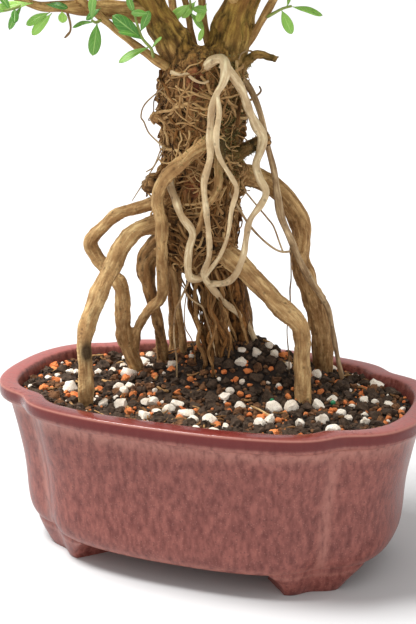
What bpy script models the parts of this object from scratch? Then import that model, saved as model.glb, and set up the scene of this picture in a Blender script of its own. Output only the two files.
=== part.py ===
"""Serissa bonsai on exposed roots, growing in a four-lobed glazed pot.

Metres, +Z up. The origin is on the surface under the middle of the pot, X along its
long side, and the front of the tree faces -Y. Routes of roots and branches are lists
of (x, y, z, radius) in millimetres, turned into metres when a stem is drawn.
"""

import bisect
import math
import random

import bmesh
import bpy
from mathutils import Vector
from mathutils.bvhtree import BVHTree
from mathutils.noise import noise

MM = 0.001
GAP = 0.0003

POT_HALF_LENGTH = 0.1045
POT_HALF_WIDTH = 0.0682
POT_HEIGHT = 0.080
POT_BASE = 0.010
POT_FLOOR = 0.016
POT_WALL = 0.0065
PLAN_POWER = 2.5
NOTCH_ANGLE = 0.553
NOTCH_SPREAD = 0.127
NOTCH_DEPTH = 0.0043
PLAN_STEPS = 44

FOOT_FLOOR_SCALE = 0.80
FOOT_TOP_SCALE = 0.862
FOOT_DEPTH = 0.019
FOOT_FLOOR_SWEEP = 0.17
FOOT_TOP_SWEEP = 0.31

DRAIN_OFFSET = 0.037
DRAIN_RADIUS = 0.006
SCREEN_SIDE = 0.021
SCREEN_THICKNESS = 0.0006
SCREEN_CELLS = 5

SOIL_EDGE = 0.0745
SOIL_RISE = 0.024
SOIL_PEAK = (0.005, 0.020)
SOIL_SPREAD = (0.033, 0.025)
SOIL_RINGS = 4
GRANULES = 36
SOIL_GAP = 0.0004
HOLE_CLEARANCE = 0.00045

CURVE_STEPS = 8
STEM_SPACING = 7.5
STEM_SPACING_PER_RADIUS = 1.3
THICK_STEM = 4.5

TRUNK_SIDES = 14
TRUNK_RIDGES = 7
TRUNK_RIDGE_DEPTH = 0.0016

LEAF_THICKNESS = 0.0006
LEAF_WIDTH_RATIO = 0.46
LEAF_LENGTH = (0.0185, 0.0225)
LEAF_PAIRS = (0.45, 0.85)
TWIG_RADIUS = 0.75
TWIG_LENGTH = (0.022, 0.029)
TIP_GAP = 0.00045
SIDE_GAP = 0.0009
TURNS = (0.0, 0.35, -0.35, 0.7, -0.7, 1.1, -1.1, 1.6, -1.6)

# Outside of the pot from its base to its rim, then down the inside to its floor:
# share of the plan, inset from it and height, the last two in metres.
POT_PROFILE = (
    (0.770, 0.0, POT_BASE),
    (0.825, 0.0, POT_BASE + 0.0012),
    (0.862, 0.0, POT_BASE + 0.0050),
    (0.880, 0.0, 0.022),
    (0.888, 0.0, 0.040),
    (0.915, 0.0, 0.055),
    (0.945, 0.0, 0.0685),
    (0.958, 0.0, 0.0712),
    (0.990, 0.0, 0.0728),
    (1.000, 0.0, 0.0745),
    (1.000, 0.0, POT_HEIGHT - 0.0012),
    (0.992, 0.0, POT_HEIGHT),
    (1.000, 0.0085, POT_HEIGHT),
    (1.000, 0.0098, POT_HEIGHT - 0.0014),
    (0.955, POT_WALL, 0.069),
    (0.905, POT_WALL, 0.048),
    (0.888, POT_WALL, 0.026),
    (0.850, POT_WALL, POT_FLOOR + 0.0015),
    (0.780, POT_WALL, POT_FLOOR),
)
INNER_START = 13

TRUNK = (
    (-7, 1, 131, 5.0),
    (-7.5, 1.5, 137, 11.0),
    (-8, 3.5, 145, 15.5),
    (-9, 5, 155, 17.6),
    (-9.5, 6, 166, 18.4),
    (-8, 7.5, 178, 17.6),
    (-8, 7.5, 190, 17.4),
    (-8, 7.5, 202, 18.4),
    (-8, 7.5, 213, 19.0),
    (-8, 7.5, 223, 18.2),
    (-8.5, 7.5, 231, 15.0),
    (-8, 8, 236, 8.0),
)

# Each root runs from the trunk to its end in the soil, or to the root it grew onto.
ROOTS = {
    "far_left": (
        (-18, 1, 166, 4.2), (-28, 0, 165, 3.6), (-38, -1, 162, 3.0), (-47, -2, 159, 3.0),
        (-55, -3, 152, 3.2), (-61, -4, 145, 3.6), (-58, -4, 138, 3.4), (-51, -3, 130, 3.6),
        (-46, -2, 123, 3.8), (-47, 1, 110, 4.0), (-49, 6, 97, 3.9), (-48, 11, 87, 3.8),
        (-46, 15, 77, 3.8), (-46, 16, 68, 3.4),
    ),
    "front_left": (
        (-14, -2, 158, 5.0), (-22, -5, 157, 4.7), (-32, -13, 154, 4.2), (-37, -17, 149, 4.2),
        (-40, -21, 141, 4.3), (-43, -25, 132, 4.4), (-46, -30, 122, 4.3), (-48, -34, 113, 4.0),
        (-49, -37, 104, 3.6), (-48, -38, 95, 3.5), (-48, -38, 86, 3.6), (-49, -36, 75, 3.8),
        (-49, -36, 66, 3.4),
    ),
    "crossing": (
        (0, 0, 199, 3.4), (2, -8, 196, 3.4), (-4, -13, 191, 3.2), (-10, -18, 185, 3.1),
        (-16, -20, 178, 3.1), (-19, -20, 169, 3.0), (-17, -20, 160, 3.0), (-18, -18, 151, 3.0),
        (-20, -13, 140, 2.9), (-22, -7, 128, 2.9), (-25, -3, 120, 2.8), (-31, -1, 114, 2.6),
        (-38, 3, 106, 2.5), (-43, 8, 97, 2.4), (-48, 15, 81, 2.4), (-51, 17, 70, 2.2),
    ),
    "hook": (
        (-14, -6, 180, 2.3), (-16, -12, 177, 2.3), (-11, -18, 170, 2.1), (-7, -21, 163, 2.0),
        (-2, -20, 156, 2.1), (-4, -19, 148, 2.1), (-5, -18, 140, 2.1), (-5, -15, 134, 2.0),
        (-2, -11, 133, 2.0), (-4, -3, 133, 2.0),
    ),
    "drape_main": (
        (-2, 1, 226, 2.6), (0, -7, 228, 2.4), (5, -12, 231, 2.5), (10, -15, 232, 2.5),
        (12, -16, 228, 2.5), (11, -16, 222, 2.1), (8, -16, 217, 1.9), (6, -17, 209, 1.9),
        (5, -16, 199, 1.9), (5, -16, 189, 1.8), (3, -18, 178, 1.7), (4, -19, 167, 1.6),
        (5, -18, 155, 1.6), (4, -15, 145, 1.6), (0, -11, 135, 1.8), (2, -6, 128, 1.9),
        (5, 3, 119, 1.8), (8, 11, 113, 1.8), (11, 18, 105, 1.8), (15, 21, 95, 1.8),
        (17, 21, 86, 1.6),
    ),
    "drape_right": (
        (10, -14, 230, 2.5), (14, -11, 224, 2.4), (16, -6, 218, 2.4), (18, -1, 209, 2.3),
        (20, 3, 202, 2.5), (22, 5, 197, 2.8), (22, 3, 191, 2.2), (21, 0, 185, 2.1),
        (23, -1, 179, 2.0), (26, -1, 173, 1.9), (25, -4, 168, 1.8), (21, -8, 161, 1.7),
        (20, -10, 153, 1.6), (19, -11, 145, 1.6), (15, -10, 136, 1.8), (9, -7, 131, 1.9),
        (2, -7, 130, 1.8),
    ),
    "drape_thin": (
        (8, -16, 217, 1.5), (10, -18, 209, 1.4), (9, -19, 199, 1.4), (10, -18, 190, 1.4),
        (14, -14, 181, 1.3), (16, -12, 175, 1.2), (14, -13, 166, 1.2), (13, -15, 155, 1.1),
        (9, -14, 145, 1.1), (3, -12, 137, 1.1), (0, -10, 133, 1.1),
    ),
    "middle": (
        (2, -2, 198, 3.0), (7, -9, 193, 2.7), (7, -11, 184, 2.3), (7, -13, 174, 1.9),
        (2, -15, 166, 1.6), (0, -17, 158, 1.5), (-3, -20, 152, 1.5),
    ),
    "outer_right": (
        (8, 9, 224, 2.0), (13, 9, 220, 1.8), (18, 7, 213, 1.6), (21, 8, 204, 1.5),
        (23, 10, 193, 1.6), (26, 10, 182, 1.7), (28, 9, 172, 1.9), (30, 9, 161, 2.0),
        (34, 12, 150, 2.0), (38, 16, 138, 1.9), (43, 21, 127, 1.8), (49, 26, 115, 1.5),
        (51, 30, 100, 1.4), (53, 32, 88, 1.3), (55, 34, 77, 1.3), (56, 34, 69, 1.2),
    ),
    "right": (
        (-2, 9, 181, 5.6), (6, 15, 179, 5.2), (16, 23, 175, 4.9), (24, 26, 169, 4.9),
        (31, 29, 159, 5.0), (34, 30, 150, 5.0), (33, 30, 138, 4.8), (37, 31, 125, 5.0),
        (41, 33, 114, 5.3), (43, 36, 100, 5.2), (43, 41, 88, 5.0), (42, 45, 77, 5.0),
        (42, 46, 68, 4.6),
    ),
    "front_right": (
        (-14, 0, 156, 5.0), (-3, -2, 150, 4.9), (7, -2, 144, 4.9), (16, -1, 137, 4.9),
        (25, 1, 128, 4.8), (34, 2, 119, 4.5), (41, 4, 112, 4.3), (43, 4, 104, 4.0),
        (43, 3, 95, 3.9), (44, 2, 86, 4.0), (45, 0, 77, 4.2), (45, 0, 68, 3.8),
    ),
    "mid_left": (
        (-17, -1, 143, 3.4), (-20, 1, 134, 2.4), (-20, 4, 124, 2.1), (-21, 8, 112, 2.0),
        (-21, 13, 100, 2.0), (-22, 18, 88, 2.1), (-22, 19, 79, 1.9),
    ),
    "middle_low": (
        (-4, 1, 136, 3.6), (-5, 4, 127, 2.9), (-6, 7, 117, 2.7), (-7, 12, 107, 2.6),
        (-9, 18, 97, 2.6), (-10, 20, 86, 2.4),
    ),
    "dark_bundle": (
        (3, 9, 141, 6.6), (5, 12, 132, 5.7), (6, 14, 122, 5.1), (7, 17, 111, 5.0),
        (8, 20, 99, 5.2), (8, 21, 89, 4.8),
    ),
    "back_left": (
        (-25, 3, 148, 5.6), (-31, 2, 142, 5.8), (-34, 1, 135, 5.0), (-34, 3, 125, 3.6),
        (-33, 7, 113, 3.0), (-33, 14, 98, 3.0), (-34, 20, 83, 3.2), (-34, 21, 74, 2.9),
    ),
    "back": (
        (-6, 16, 150, 5.5), (-6, 27, 143, 4.8), (-4, 36, 131, 4.4), (-1, 41, 117, 4.2),
        (1, 43, 103, 4.2), (2, 44, 90, 4.3), (2, 44, 79, 4.0),
    ),
    "back_low": (
        (-18, 12, 146, 4.8), (-26, 20, 138, 4.2), (-31, 29, 126, 3.7), (-34, 35, 112, 3.6),
        (-35, 39, 97, 3.6), (-36, 41, 84, 3.7), (-36, 41, 74, 3.4),
    ),
}

STUBS = {
    "low_left": ((-16, 2, 173, 4.8), (-23, 0, 174, 4.7), (-29, -6, 176, 4.2), (-31, -9, 177, 3.4)),
    "high_left": ((-18, 2, 203, 3.4), (-23, -1, 204, 2.8), (-27, -6, 205, 2.7)),
    "right": ((6, 6, 187, 4.0), (12, 6, 190, 3.6), (18, 6, 193, 3.3), (25, 8, 196, 3.1)),
    "top_right": (
        (4, 11, 226, 3.2), (11, 11, 229, 2.6), (18, 8, 233, 2.3), (23, 9, 232, 1.9),
        (27, 9, 231, 1.8),
    ),
}

LIMBS = {
    "left": (
        (-11, 6, 222, 11.0), (-14, 4, 228, 10.2), (-18, 1, 236, 8.6), (-22, -3, 245, 7.2),
        (-27, -8, 256, 6.2), (-34, -12, 268, 5.2), (-43, -14, 280, 4.4), (-52, -14, 291, 3.4),
        (-62, -12, 301, 2.5),
    ),
    "right": (
        (-2, 11, 220, 12.0), (1, 12, 229, 11.0), (4, 13, 239, 9.4), (7, 12, 249, 8.5),
        (11, 12, 259, 7.6), (17, 10, 271, 6.4), (25, 8, 284, 5.0), (34, 6, 297, 3.6),
        (41, 4, 309, 2.6),
    ),
}

# Side branches as they leave the limbs. Each one carries leafy shoots at its end.
BRANCHES = {
    "low_left": (
        (-15, 1, 224, 3.0), (-22, -6, 229, 2.4), (-30, -13, 236, 1.9), (-40, -21, 246, 1.7),
        (-48, -29, 255, 1.6), (-55, -38, 265, 1.5), (-60, -47, 275, 1.4),
    ),
    "far_left": (
        (-25, -6, 250, 3.0), (-34, -13, 250, 2.6), (-48, -25, 252, 2.1), (-58, -32, 253, 1.8),
        (-67, -38, 254, 1.6), (-77, -42, 259, 1.5), (-86, -44, 266, 1.4),
    ),
    "right_side": (
        (6, 13, 232, 2.6), (13, 13, 239, 2.0), (20, 13, 250, 1.8), (29, 11, 263, 1.7),
        (42, 6, 272, 1.6), (56, 0, 277, 1.5), (70, -6, 281, 1.4),
    ),
    "stem_outer": (
        (-17, 7, 234, 2.0), (-20, 8, 242, 1.7), (-23, 10, 254, 1.6), (-28, 17, 268, 1.5),
        (-34, 26, 278, 1.4), (-42, 36, 284, 1.3),
    ),
    "stem_middle": (
        (-11, 10, 230, 2.0), (-14, 10, 241, 1.7), (-16, 9, 254, 1.5), (-19, 4, 270, 1.4),
        (-21, -6, 284, 1.4), (-22, -18, 295, 1.3),
    ),
    "stem_inner": (
        (-5, 11, 231, 2.0), (-7, 11, 240, 1.7), (-9, 10, 255, 1.6), (-10, 14, 272, 1.5),
        (-12, 20, 290, 1.4), (-14, 24, 306, 1.3),
    ),
    "left_pad": (
        (-31, -10, 262, 3.0), (-44, -7, 268, 2.4), (-60, -2, 273, 1.9), (-77, 3, 277, 1.6),
        (-89, 7, 280, 1.4),
    ),
    "left_front": (
        (-37, -13, 272, 2.6), (-41, -26, 280, 2.0), (-47, -39, 287, 1.7), (-51, -51, 291, 1.4),
    ),
    "left_back": (
        (-46, -14, 283, 2.6), (-53, 3, 288, 2.0), (-61, 19, 290, 1.7), (-66, 33, 290, 1.4),
    ),
    "left_top": (
        (-42, -14, 279, 2.6), (-39, -13, 294, 2.1), (-38, -9, 305, 1.7), (-38, -4, 315, 1.4),
    ),
    "back_pad": (
        (7, 14, 247, 3.2), (5, 28, 257, 2.5), (1, 42, 267, 2.0), (-6, 56, 275, 1.5),
    ),
    "front_pad": (
        (9, 11, 254, 3.2), (6, -4, 263, 2.5), (2, -21, 270, 2.0), (-3, -38, 276, 1.7),
        (-8, -52, 281, 1.4),
    ),
    "right_front": (
        (14, 11, 265, 3.0), (23, -6, 274, 2.3), (33, -24, 280, 1.8), (41, -40, 284, 1.4),
    ),
    "right_back": (
        (18, 10, 272, 2.8), (26, 26, 279, 2.2), (34, 41, 284, 1.7), (39, 53, 286, 1.4),
    ),
    "right_pad": (
        (24, 8, 282, 2.8), (41, 14, 287, 2.2), (59, 20, 288, 1.8), (76, 24, 287, 1.5),
        (87, 25, 286, 1.3),
    ),
    "right_top": (
        (33, 6, 295, 2.4), (46, 2, 302, 2.0), (59, -3, 306, 1.6), (70, -8, 307, 1.3),
    ),
    "crown": (
        (22, 9, 279, 2.8), (14, 5, 295, 2.3), (7, 2, 307, 1.9), (1, 2, 319, 1.4),
    ),
}

# Which of a branch's own points a side shoot leaves from, besides the one at its tip.
SIDE_SHOOTS = {
    "low_left": (5,),
    "far_left": (),
    "right_side": (4,),
    "stem_outer": (4,),
    "stem_middle": (),
    "stem_inner": (4,),
    "left_pad": (2, 3),
    "left_front": (),
    "left_back": (2,),
    "left_top": (2,),
    "back_pad": (2,),
    "front_pad": (2, 3),
    "right_front": (2,),
    "right_back": (2,),
    "right_pad": (2, 3),
    "right_top": (),
    "crown": (2,),
}

# Shoots low enough to be seen from the front: the stem's points, then for each leaf
# its share of the way along the stem and its tip.
LOW_SHOOTS = {
    "shoot_green_left": (
        ((-20, -16, 232), (-22, -18, 236), (-25, -20, 240), (-27, -21, 246), (-28, -22, 251)),
        (
            (0.45, (-37, -25, 250)), (0.30, (-34, -26, 230)), (0.25, (-16, -20, 241)),
            (0.62, (-22, -19, 252)), (0.97, (-30, -24, 258)), (0.55, (-33, -28, 243)),
        ),
    ),
    "shoot_tip_left": (
        ((-70, -43, 254), (-73, -46, 253), (-77, -48, 252)),
        (
            (0.95, (-90, -52, 250)), (0.20, (-75, -48, 244)), (0.50, (-70, -52, 247)),
            (0.75, (-82, -44, 259)),
        ),
    ),
    "shoot_hang_left": (
        ((-43, -26, 247), (-43, -29, 247), (-43, -33, 248)),
        ((0.35, (-44, -31, 233)), (0.75, (-52, -34, 245)), (0.97, (-40, -36, 259))),
    ),
    "shoot_between_stems": (
        ((-12, 6, 250), (-12, 4, 253), (-12, 3, 257)),
        (
            (0.25, (-6, 3, 244)), (0.50, (-3, 1, 252)), (0.75, (-21, 1, 248)),
            (0.97, (-10, 0, 266)),
        ),
    ),
    "shoot_light_right": (
        ((22, 12, 249), (25, 11, 251), (29, 11, 253), (33, 11, 254)),
        ((0.97, (46, 15, 250)), (0.60, (34, 9, 242)), (0.80, (36, 6, 262))),
    ),
}


def clear_scene():
    """Remove every object and the empty data left behind."""
    for obj in list(bpy.data.objects):
        bpy.data.objects.remove(obj, do_unlink=True)
    for collection in list(bpy.data.collections):
        bpy.data.collections.remove(collection)


def new_collection(name):
    """Make a collection in the scene."""
    collection = bpy.data.collections.new(name)
    bpy.context.scene.collection.children.link(collection)
    return collection


def material(name, colour, roughness, coat=0.0):
    """Make a Principled material in one colour."""
    made = bpy.data.materials.new(name)
    made.use_nodes = True
    made.diffuse_color = (*colour, 1.0)
    shader = made.node_tree.nodes["Principled BSDF"]
    shader.inputs["Base Color"].default_value = (*colour, 1.0)
    shader.inputs["Roughness"].default_value = roughness
    shader.inputs["Metallic"].default_value = 0.0
    shader.inputs["Coat Weight"].default_value = coat
    return made


def mesh_object(name, mesh, collection, finish=None, smooth_angle=None):
    """Link a mesh as an object, with its material and its shading."""
    obj = bpy.data.objects.new(name, mesh)
    collection.objects.link(obj)
    if finish is not None:
        mesh.materials.clear()
        mesh.materials.append(finish)
    if smooth_angle is not None:
        mesh.shade_smooth()
        mesh.set_sharp_from_angle(angle=smooth_angle)
    return obj


def mesh_from(bm, name):
    """Turn a bmesh into a mesh and free it."""
    mesh = bpy.data.meshes.new(name)
    bm.to_mesh(mesh)
    bm.free()
    return mesh


def evaluated_mesh(obj):
    """The object's mesh with its modifiers applied."""
    graph = bpy.context.evaluated_depsgraph_get()
    graph.update()
    return bpy.data.meshes.new_from_object(obj.evaluated_get(graph))


def apply_modifiers(obj):
    """Replace the object's mesh by its evaluated one."""
    mesh = evaluated_mesh(obj)
    obj.modifiers.clear()
    obj.data = mesh


def boolean(obj, others, operation, solver):
    """Join a collection's objects to this one, or cut them from it, and drop them."""
    modifier = obj.modifiers.new(operation.title(), "BOOLEAN")
    modifier.operation = operation
    modifier.operand_type = "COLLECTION"
    modifier.collection = others
    modifier.solver = solver
    apply_modifiers(obj)
    for other in list(others.objects):
        bpy.data.objects.remove(other, do_unlink=True)
    bpy.data.collections.remove(others)


def loft(rows, name):
    """Skin closed rows of points, with a flat cap on the first and the last."""
    bm = bmesh.new()
    rings = [[bm.verts.new(point) for point in row] for row in rows]
    count = len(rings[0])
    for low, high in zip(rings, rings[1:]):
        for i in range(count):
            j = (i + 1) % count
            bm.faces.new((low[i], low[j], high[j], high[i]))
    bm.faces.new(reversed(rings[0]))
    bm.faces.new(rings[-1])
    bmesh.ops.recalc_face_normals(bm, faces=bm.faces)
    return mesh_from(bm, name)


def plan_radius(angle):
    """Radius of the four-lobed plan: a soft oval drawn in at its four notches."""
    along = abs(math.cos(angle)) / POT_HALF_LENGTH
    across = abs(math.sin(angle)) / POT_HALF_WIDTH
    oval = (along**PLAN_POWER + across**PLAN_POWER) ** (-1.0 / PLAN_POWER)
    from_axis = math.atan2(abs(math.sin(angle)), abs(math.cos(angle)))
    notch = math.exp(-(((from_axis - NOTCH_ANGLE) / NOTCH_SPREAD) ** 2))
    return oval - NOTCH_DEPTH * notch


def plan_point(angle, scale, inset, height):
    """A point of the plan, scaled and then moved in."""
    radius = plan_radius(angle) * scale - inset
    return Vector((radius * math.cos(angle), radius * math.sin(angle), height))


def plan_row(scale, inset, height, steps):
    """The closed plan at one height, with even steps of angle."""
    return [plan_point(2 * math.pi * i / steps, scale, inset, height) for i in range(steps)]


def notch_angles():
    """The directions of the four notches."""
    quarter = NOTCH_ANGLE
    return (quarter, math.pi - quarter, math.pi + quarter, -quarter)


def foot_row(middle, scale, sweep, height):
    """Outline of a bracket foot at one height: the plan outside, a shallow curve inside."""
    spread = [middle + sweep * k / 4 for k in range(-4, 5)]
    outer = [plan_point(angle, scale, 0.0, height) for angle in spread]
    inner = [plan_point(middle + sweep * k / 4, scale, FOOT_DEPTH, height) for k in (3, 1, -1, -3)]
    return outer + inner


def pot_foot(middle, collection):
    """A foot under one notch, spreading in a cove from the floor to the pot's belly."""
    levels = (
        (0.0, 0.0, 0.0),
        (0.0020, 0.25, 0.06),
        (0.0070, 0.72, 0.42),
        (0.0105, 1.00, 1.00),
        (0.0135, 1.00, 1.10),
    )
    rows = []
    for height, out, wide in levels:
        scale = FOOT_FLOOR_SCALE + (FOOT_TOP_SCALE - FOOT_FLOOR_SCALE) * out - 0.004
        sweep = FOOT_FLOOR_SWEEP + (FOOT_TOP_SWEEP - FOOT_FLOOR_SWEEP) * wide
        rows.append(foot_row(middle, scale, sweep, height))
    return mesh_object("foot", loft(rows, "foot"), collection)


def drain_cutter(side, collection):
    """A plain round hole through the pot's floor."""
    bm = bmesh.new()
    bmesh.ops.create_cone(
        bm, cap_ends=True, segments=20, radius1=DRAIN_RADIUS, radius2=DRAIN_RADIUS, depth=POT_FLOOR
    )
    cutter = mesh_object("drain", mesh_from(bm, "drain"), collection)
    cutter.data.transform(cutter.matrix_world.Translation((side * DRAIN_OFFSET, 0, POT_BASE + 0.003)))
    cutter.hide_render = True
    cutter.display_type = "WIRE"
    return cutter


def build_pot(parts, glaze):
    """The pot: a lofted wall and floor, four feet and two drain holes."""
    rows = [plan_row(scale, inset, height, PLAN_STEPS) for scale, inset, height in POT_PROFILE]
    pot = mesh_object("pot", loft(rows, "pot"), parts, glaze)
    feet = new_collection("feet")
    for middle in notch_angles():
        pot_foot(middle, feet)
    boolean(pot, feet, "UNION", "EXACT")
    drains = new_collection("drains")
    for side in (-1, 1):
        drain_cutter(side, drains)
    boolean(pot, drains, "DIFFERENCE", "EXACT")
    pot.data.shade_smooth()
    pot.data.set_sharp_from_angle(angle=math.radians(50))
    return pot


def build_screen(name, side, parts, plastic):
    """A plastic mesh over a drain hole: a thin plate with square openings."""
    bm = bmesh.new()
    bmesh.ops.create_grid(bm, x_segments=SCREEN_CELLS, y_segments=SCREEN_CELLS, size=SCREEN_SIDE / 2)
    cell = SCREEN_SIDE / SCREEN_CELLS
    openings = []
    for face in bm.faces:
        middle = face.calc_center_median()
        column = round(middle.x / cell)
        row = round(middle.y / cell)
        if column % 2 == 0 and row % 2 == 0 and max(abs(column), abs(row)) < SCREEN_CELLS // 2:
            openings.append(face)
    bmesh.ops.delete(bm, geom=openings, context="FACES")
    screen = mesh_object(name, mesh_from(bm, name), parts, plastic)
    screen.location = (side * DRAIN_OFFSET, 0, POT_FLOOR + GAP)
    thicken = screen.modifiers.new("Thickness", "SOLIDIFY")
    thicken.thickness = SCREEN_THICKNESS
    thicken.offset = 1.0
    return screen


def soil_height(x, y):
    """The soil's mound, highest under the tree, with small uneven rises."""
    across = ((x - SOIL_PEAK[0]) / SOIL_SPREAD[0]) ** 2
    along = ((y - SOIL_PEAK[1]) / SOIL_SPREAD[1]) ** 2
    uneven = 0.0009 * noise(Vector((x, y, 0.0)) * 90.0)
    return SOIL_EDGE + SOIL_RISE * math.exp(-across - along) + uneven


def inside_at(height):
    """Share of the plan and inset of the pot's inner wall at a height."""
    inner = POT_PROFILE[INNER_START:]
    for (scale_b, inset_b, top), (scale_a, inset_a, low) in zip(inner, inner[1:]):
        if low <= height <= top:
            share = (height - low) / (top - low)
            return scale_a + (scale_b - scale_a) * share, inset_a + (inset_b - inset_a) * share
    raise ValueError("the height lies outside the pot's hollow")


def soil_edge(angle):
    """Radius of the soil where it meets the pot's wall."""
    scale, inset = inside_at(SOIL_EDGE)
    return plan_radius(angle) * scale - inset - SOIL_GAP


def soil_surface_row(share):
    """One ring of the mound, a share of the way from its middle to the pot's wall."""
    row = []
    for i in range(PLAN_STEPS):
        angle = 2 * math.pi * i / PLAN_STEPS
        edge = soil_edge(angle)
        x = edge * share * math.cos(angle) + SOIL_PEAK[0] * (1 - share)
        y = edge * share * math.sin(angle) + SOIL_PEAK[1] * (1 - share)
        row.append(Vector((x, y, soil_height(x, y))))
    return row


def soil_body(parts, finish):
    """The potting mix: it fills the pot from its floor to the mound."""
    bottom = POT_FLOOR + GAP + SCREEN_THICKNESS + GAP
    rows = []
    for height in (bottom, bottom + 0.0012, 0.026, 0.048, 0.069):
        scale, inset = inside_at(height)
        rows.append(plan_row(scale, inset + SOIL_GAP, height, PLAN_STEPS))
    for k in range(SOIL_RINGS):
        rows.append(soil_surface_row(1.0 - k / SOIL_RINGS))
    return mesh_object("soil", loft(rows, "soil"), parts, finish)


def granule(place, size, rng, collection):
    """A rough chip of pumice or lava, half sunk in the mound."""
    bm = bmesh.new()
    bmesh.ops.create_icosphere(bm, subdivisions=1, radius=size)
    stretch = Vector((rng.uniform(0.9, 1.35), rng.uniform(0.8, 1.1), rng.uniform(0.7, 0.95)))
    turn = rng.uniform(0, math.pi)
    for vert in bm.verts:
        point = vert.co * rng.uniform(0.86, 1.12)
        x, y = point.x * stretch.x, point.y * stretch.y
        vert.co = place + Vector((
            x * math.cos(turn) - y * math.sin(turn),
            x * math.sin(turn) + y * math.cos(turn),
            point.z * stretch.z,
        ))
    return mesh_object("granule", mesh_from(bm, "granule"), collection)


def granule_places(rng):
    """Seeded places over the mound, none closer than the chips are wide."""
    places = []
    tries = 0
    while len(places) < GRANULES and tries < 6000:
        tries += 1
        angle = rng.uniform(0, 2 * math.pi)
        share = math.sqrt(rng.random())
        size = rng.uniform(0.0022, 0.0040)
        reach = (soil_edge(angle) - 1.4 * size) * share
        x = reach * math.cos(angle)
        y = reach * math.sin(angle)
        place = Vector((x, y, soil_height(x, y) + 0.15 * size))
        if all((place - other).length > size + width + 0.0006 for other, width in places):
            places.append((place, size))
    return places


def build_soil(parts, finish, stems):
    """The mound with its chips, and a plain hole around each root that enters it."""
    soil = soil_body(parts, finish)
    rng = random.Random(11)
    chips = new_collection("chips")
    for place, size in granule_places(rng):
        granule(place, size, rng, chips)
    boolean(soil, chips, "UNION", "EXACT")
    holes = new_collection("root_holes")
    for name, route in stems.items():
        wider = [(x, y, z, radius + HOLE_CLEARANCE / MM) for x, y, z, radius in stem_points(route)]
        last = Vector(wider[-1][:3])
        onward = (last - Vector(wider[-2][:3])).normalized() * HOLE_CLEARANCE / MM
        wider[-1] = (*(last + onward), wider[-1][3])
        cutter = tube("hole_" + name, wider, holes, stem_sides(route))
        cutter.hide_render = True
        cutter.display_type = "WIRE"
    boolean(soil, holes, "DIFFERENCE", "EXACT")
    keep_largest_piece(soil.data)
    soil.data.shade_smooth()
    soil.data.set_sharp_from_angle(angle=math.radians(35))
    return soil


def keep_largest_piece(mesh):
    """Drop loose scraps that a cut leaves beside the main body."""
    bm = bmesh.new()
    bm.from_mesh(mesh)
    left = set(bm.verts)
    pieces = []
    while left:
        front = [left.pop()]
        piece = list(front)
        while front:
            vert = front.pop()
            for edge in vert.link_edges:
                other = edge.other_vert(vert)
                if other in left:
                    left.remove(other)
                    front.append(other)
                    piece.append(other)
        pieces.append(piece)
    pieces.sort(key=len)
    for piece in pieces[:-1]:
        bmesh.ops.delete(bm, geom=piece, context="VERTS")
    bm.to_mesh(mesh)
    bm.free()


def smooth_route(route, spacing):
    """Points at even distances along a smooth curve through the route's own points."""
    points = [Vector(point) for point in route]
    ends = [2 * points[0] - points[1]] + points + [2 * points[-1] - points[-2]]
    fine = []
    for i in range(len(points) - 1):
        a, b, c, d = ends[i : i + 4]
        for k in range(CURVE_STEPS):
            t = k / CURVE_STEPS
            bend = (2 * a - 5 * b + 4 * c - d) * t**2 + (3 * b - a - 3 * c + d) * t**3
            fine.append(0.5 * (2 * b + (c - a) * t + bend))
    fine.append(points[-1])
    reached = [0.0]
    for start, end in zip(fine, fine[1:]):
        reached.append(reached[-1] + (end.xyz - start.xyz).length)
    count = max(2, round(reached[-1] / spacing))
    read = []
    for k in range(count + 1):
        target = reached[-1] * k / count
        i = min(bisect.bisect_left(reached, target, 1), len(fine) - 1)
        share = (target - reached[i - 1]) / (reached[i] - reached[i - 1])
        read.append(fine[i - 1].lerp(fine[i], share))
    return read


def stem_spacing(route):
    """Distance between the points of a stem, in millimetres: closer on slim stems."""
    widest = max(point[3] for point in route)
    return STEM_SPACING + STEM_SPACING_PER_RADIUS * widest


def tube(name, points, collection, sides=6):
    """A stem drawn as a bevelled curve through its points, then made a closed mesh."""
    curve = bpy.data.curves.new(name, "CURVE")
    curve.dimensions = "3D"
    curve.bevel_depth = MM
    curve.bevel_resolution = (sides - 4) // 2
    curve.use_fill_caps = True
    spline = curve.splines.new("POLY")
    spline.points.add(len(points) - 1)
    for point, (x, y, z, radius) in zip(spline.points, points):
        point.co = (x * MM, y * MM, z * MM, 1.0)
        point.radius = radius
    drawn = bpy.data.objects.new(name, curve)
    bpy.context.scene.collection.objects.link(drawn)
    mesh = evaluated_mesh(drawn)
    bpy.data.objects.remove(drawn, do_unlink=True)
    bm = bmesh.new()
    bm.from_mesh(mesh)
    bmesh.ops.remove_doubles(bm, verts=bm.verts, dist=1e-6)
    bmesh.ops.recalc_face_normals(bm, faces=bm.faces)
    bm.to_mesh(mesh)
    bm.free()
    return mesh_object(name, mesh, collection)


def stem_points(route):
    """The points of a wooden stem."""
    return smooth_route(route, stem_spacing(route))


def stem_sides(route):
    """Eight sides on a thick stem and six on a slim one."""
    return 8 if max(point[3] for point in route) > THICK_STEM else 6


def trunk_axis(height):
    """The trunk's middle at a height, in metres."""
    points = [Vector(point[:3]) * MM for point in TRUNK]
    for low, high in zip(points, points[1:]):
        if height <= high.z:
            share = max(0.0, (height - low.z) / (high.z - low.z))
            return low.lerp(high, share)
    return points[-1]


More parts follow.
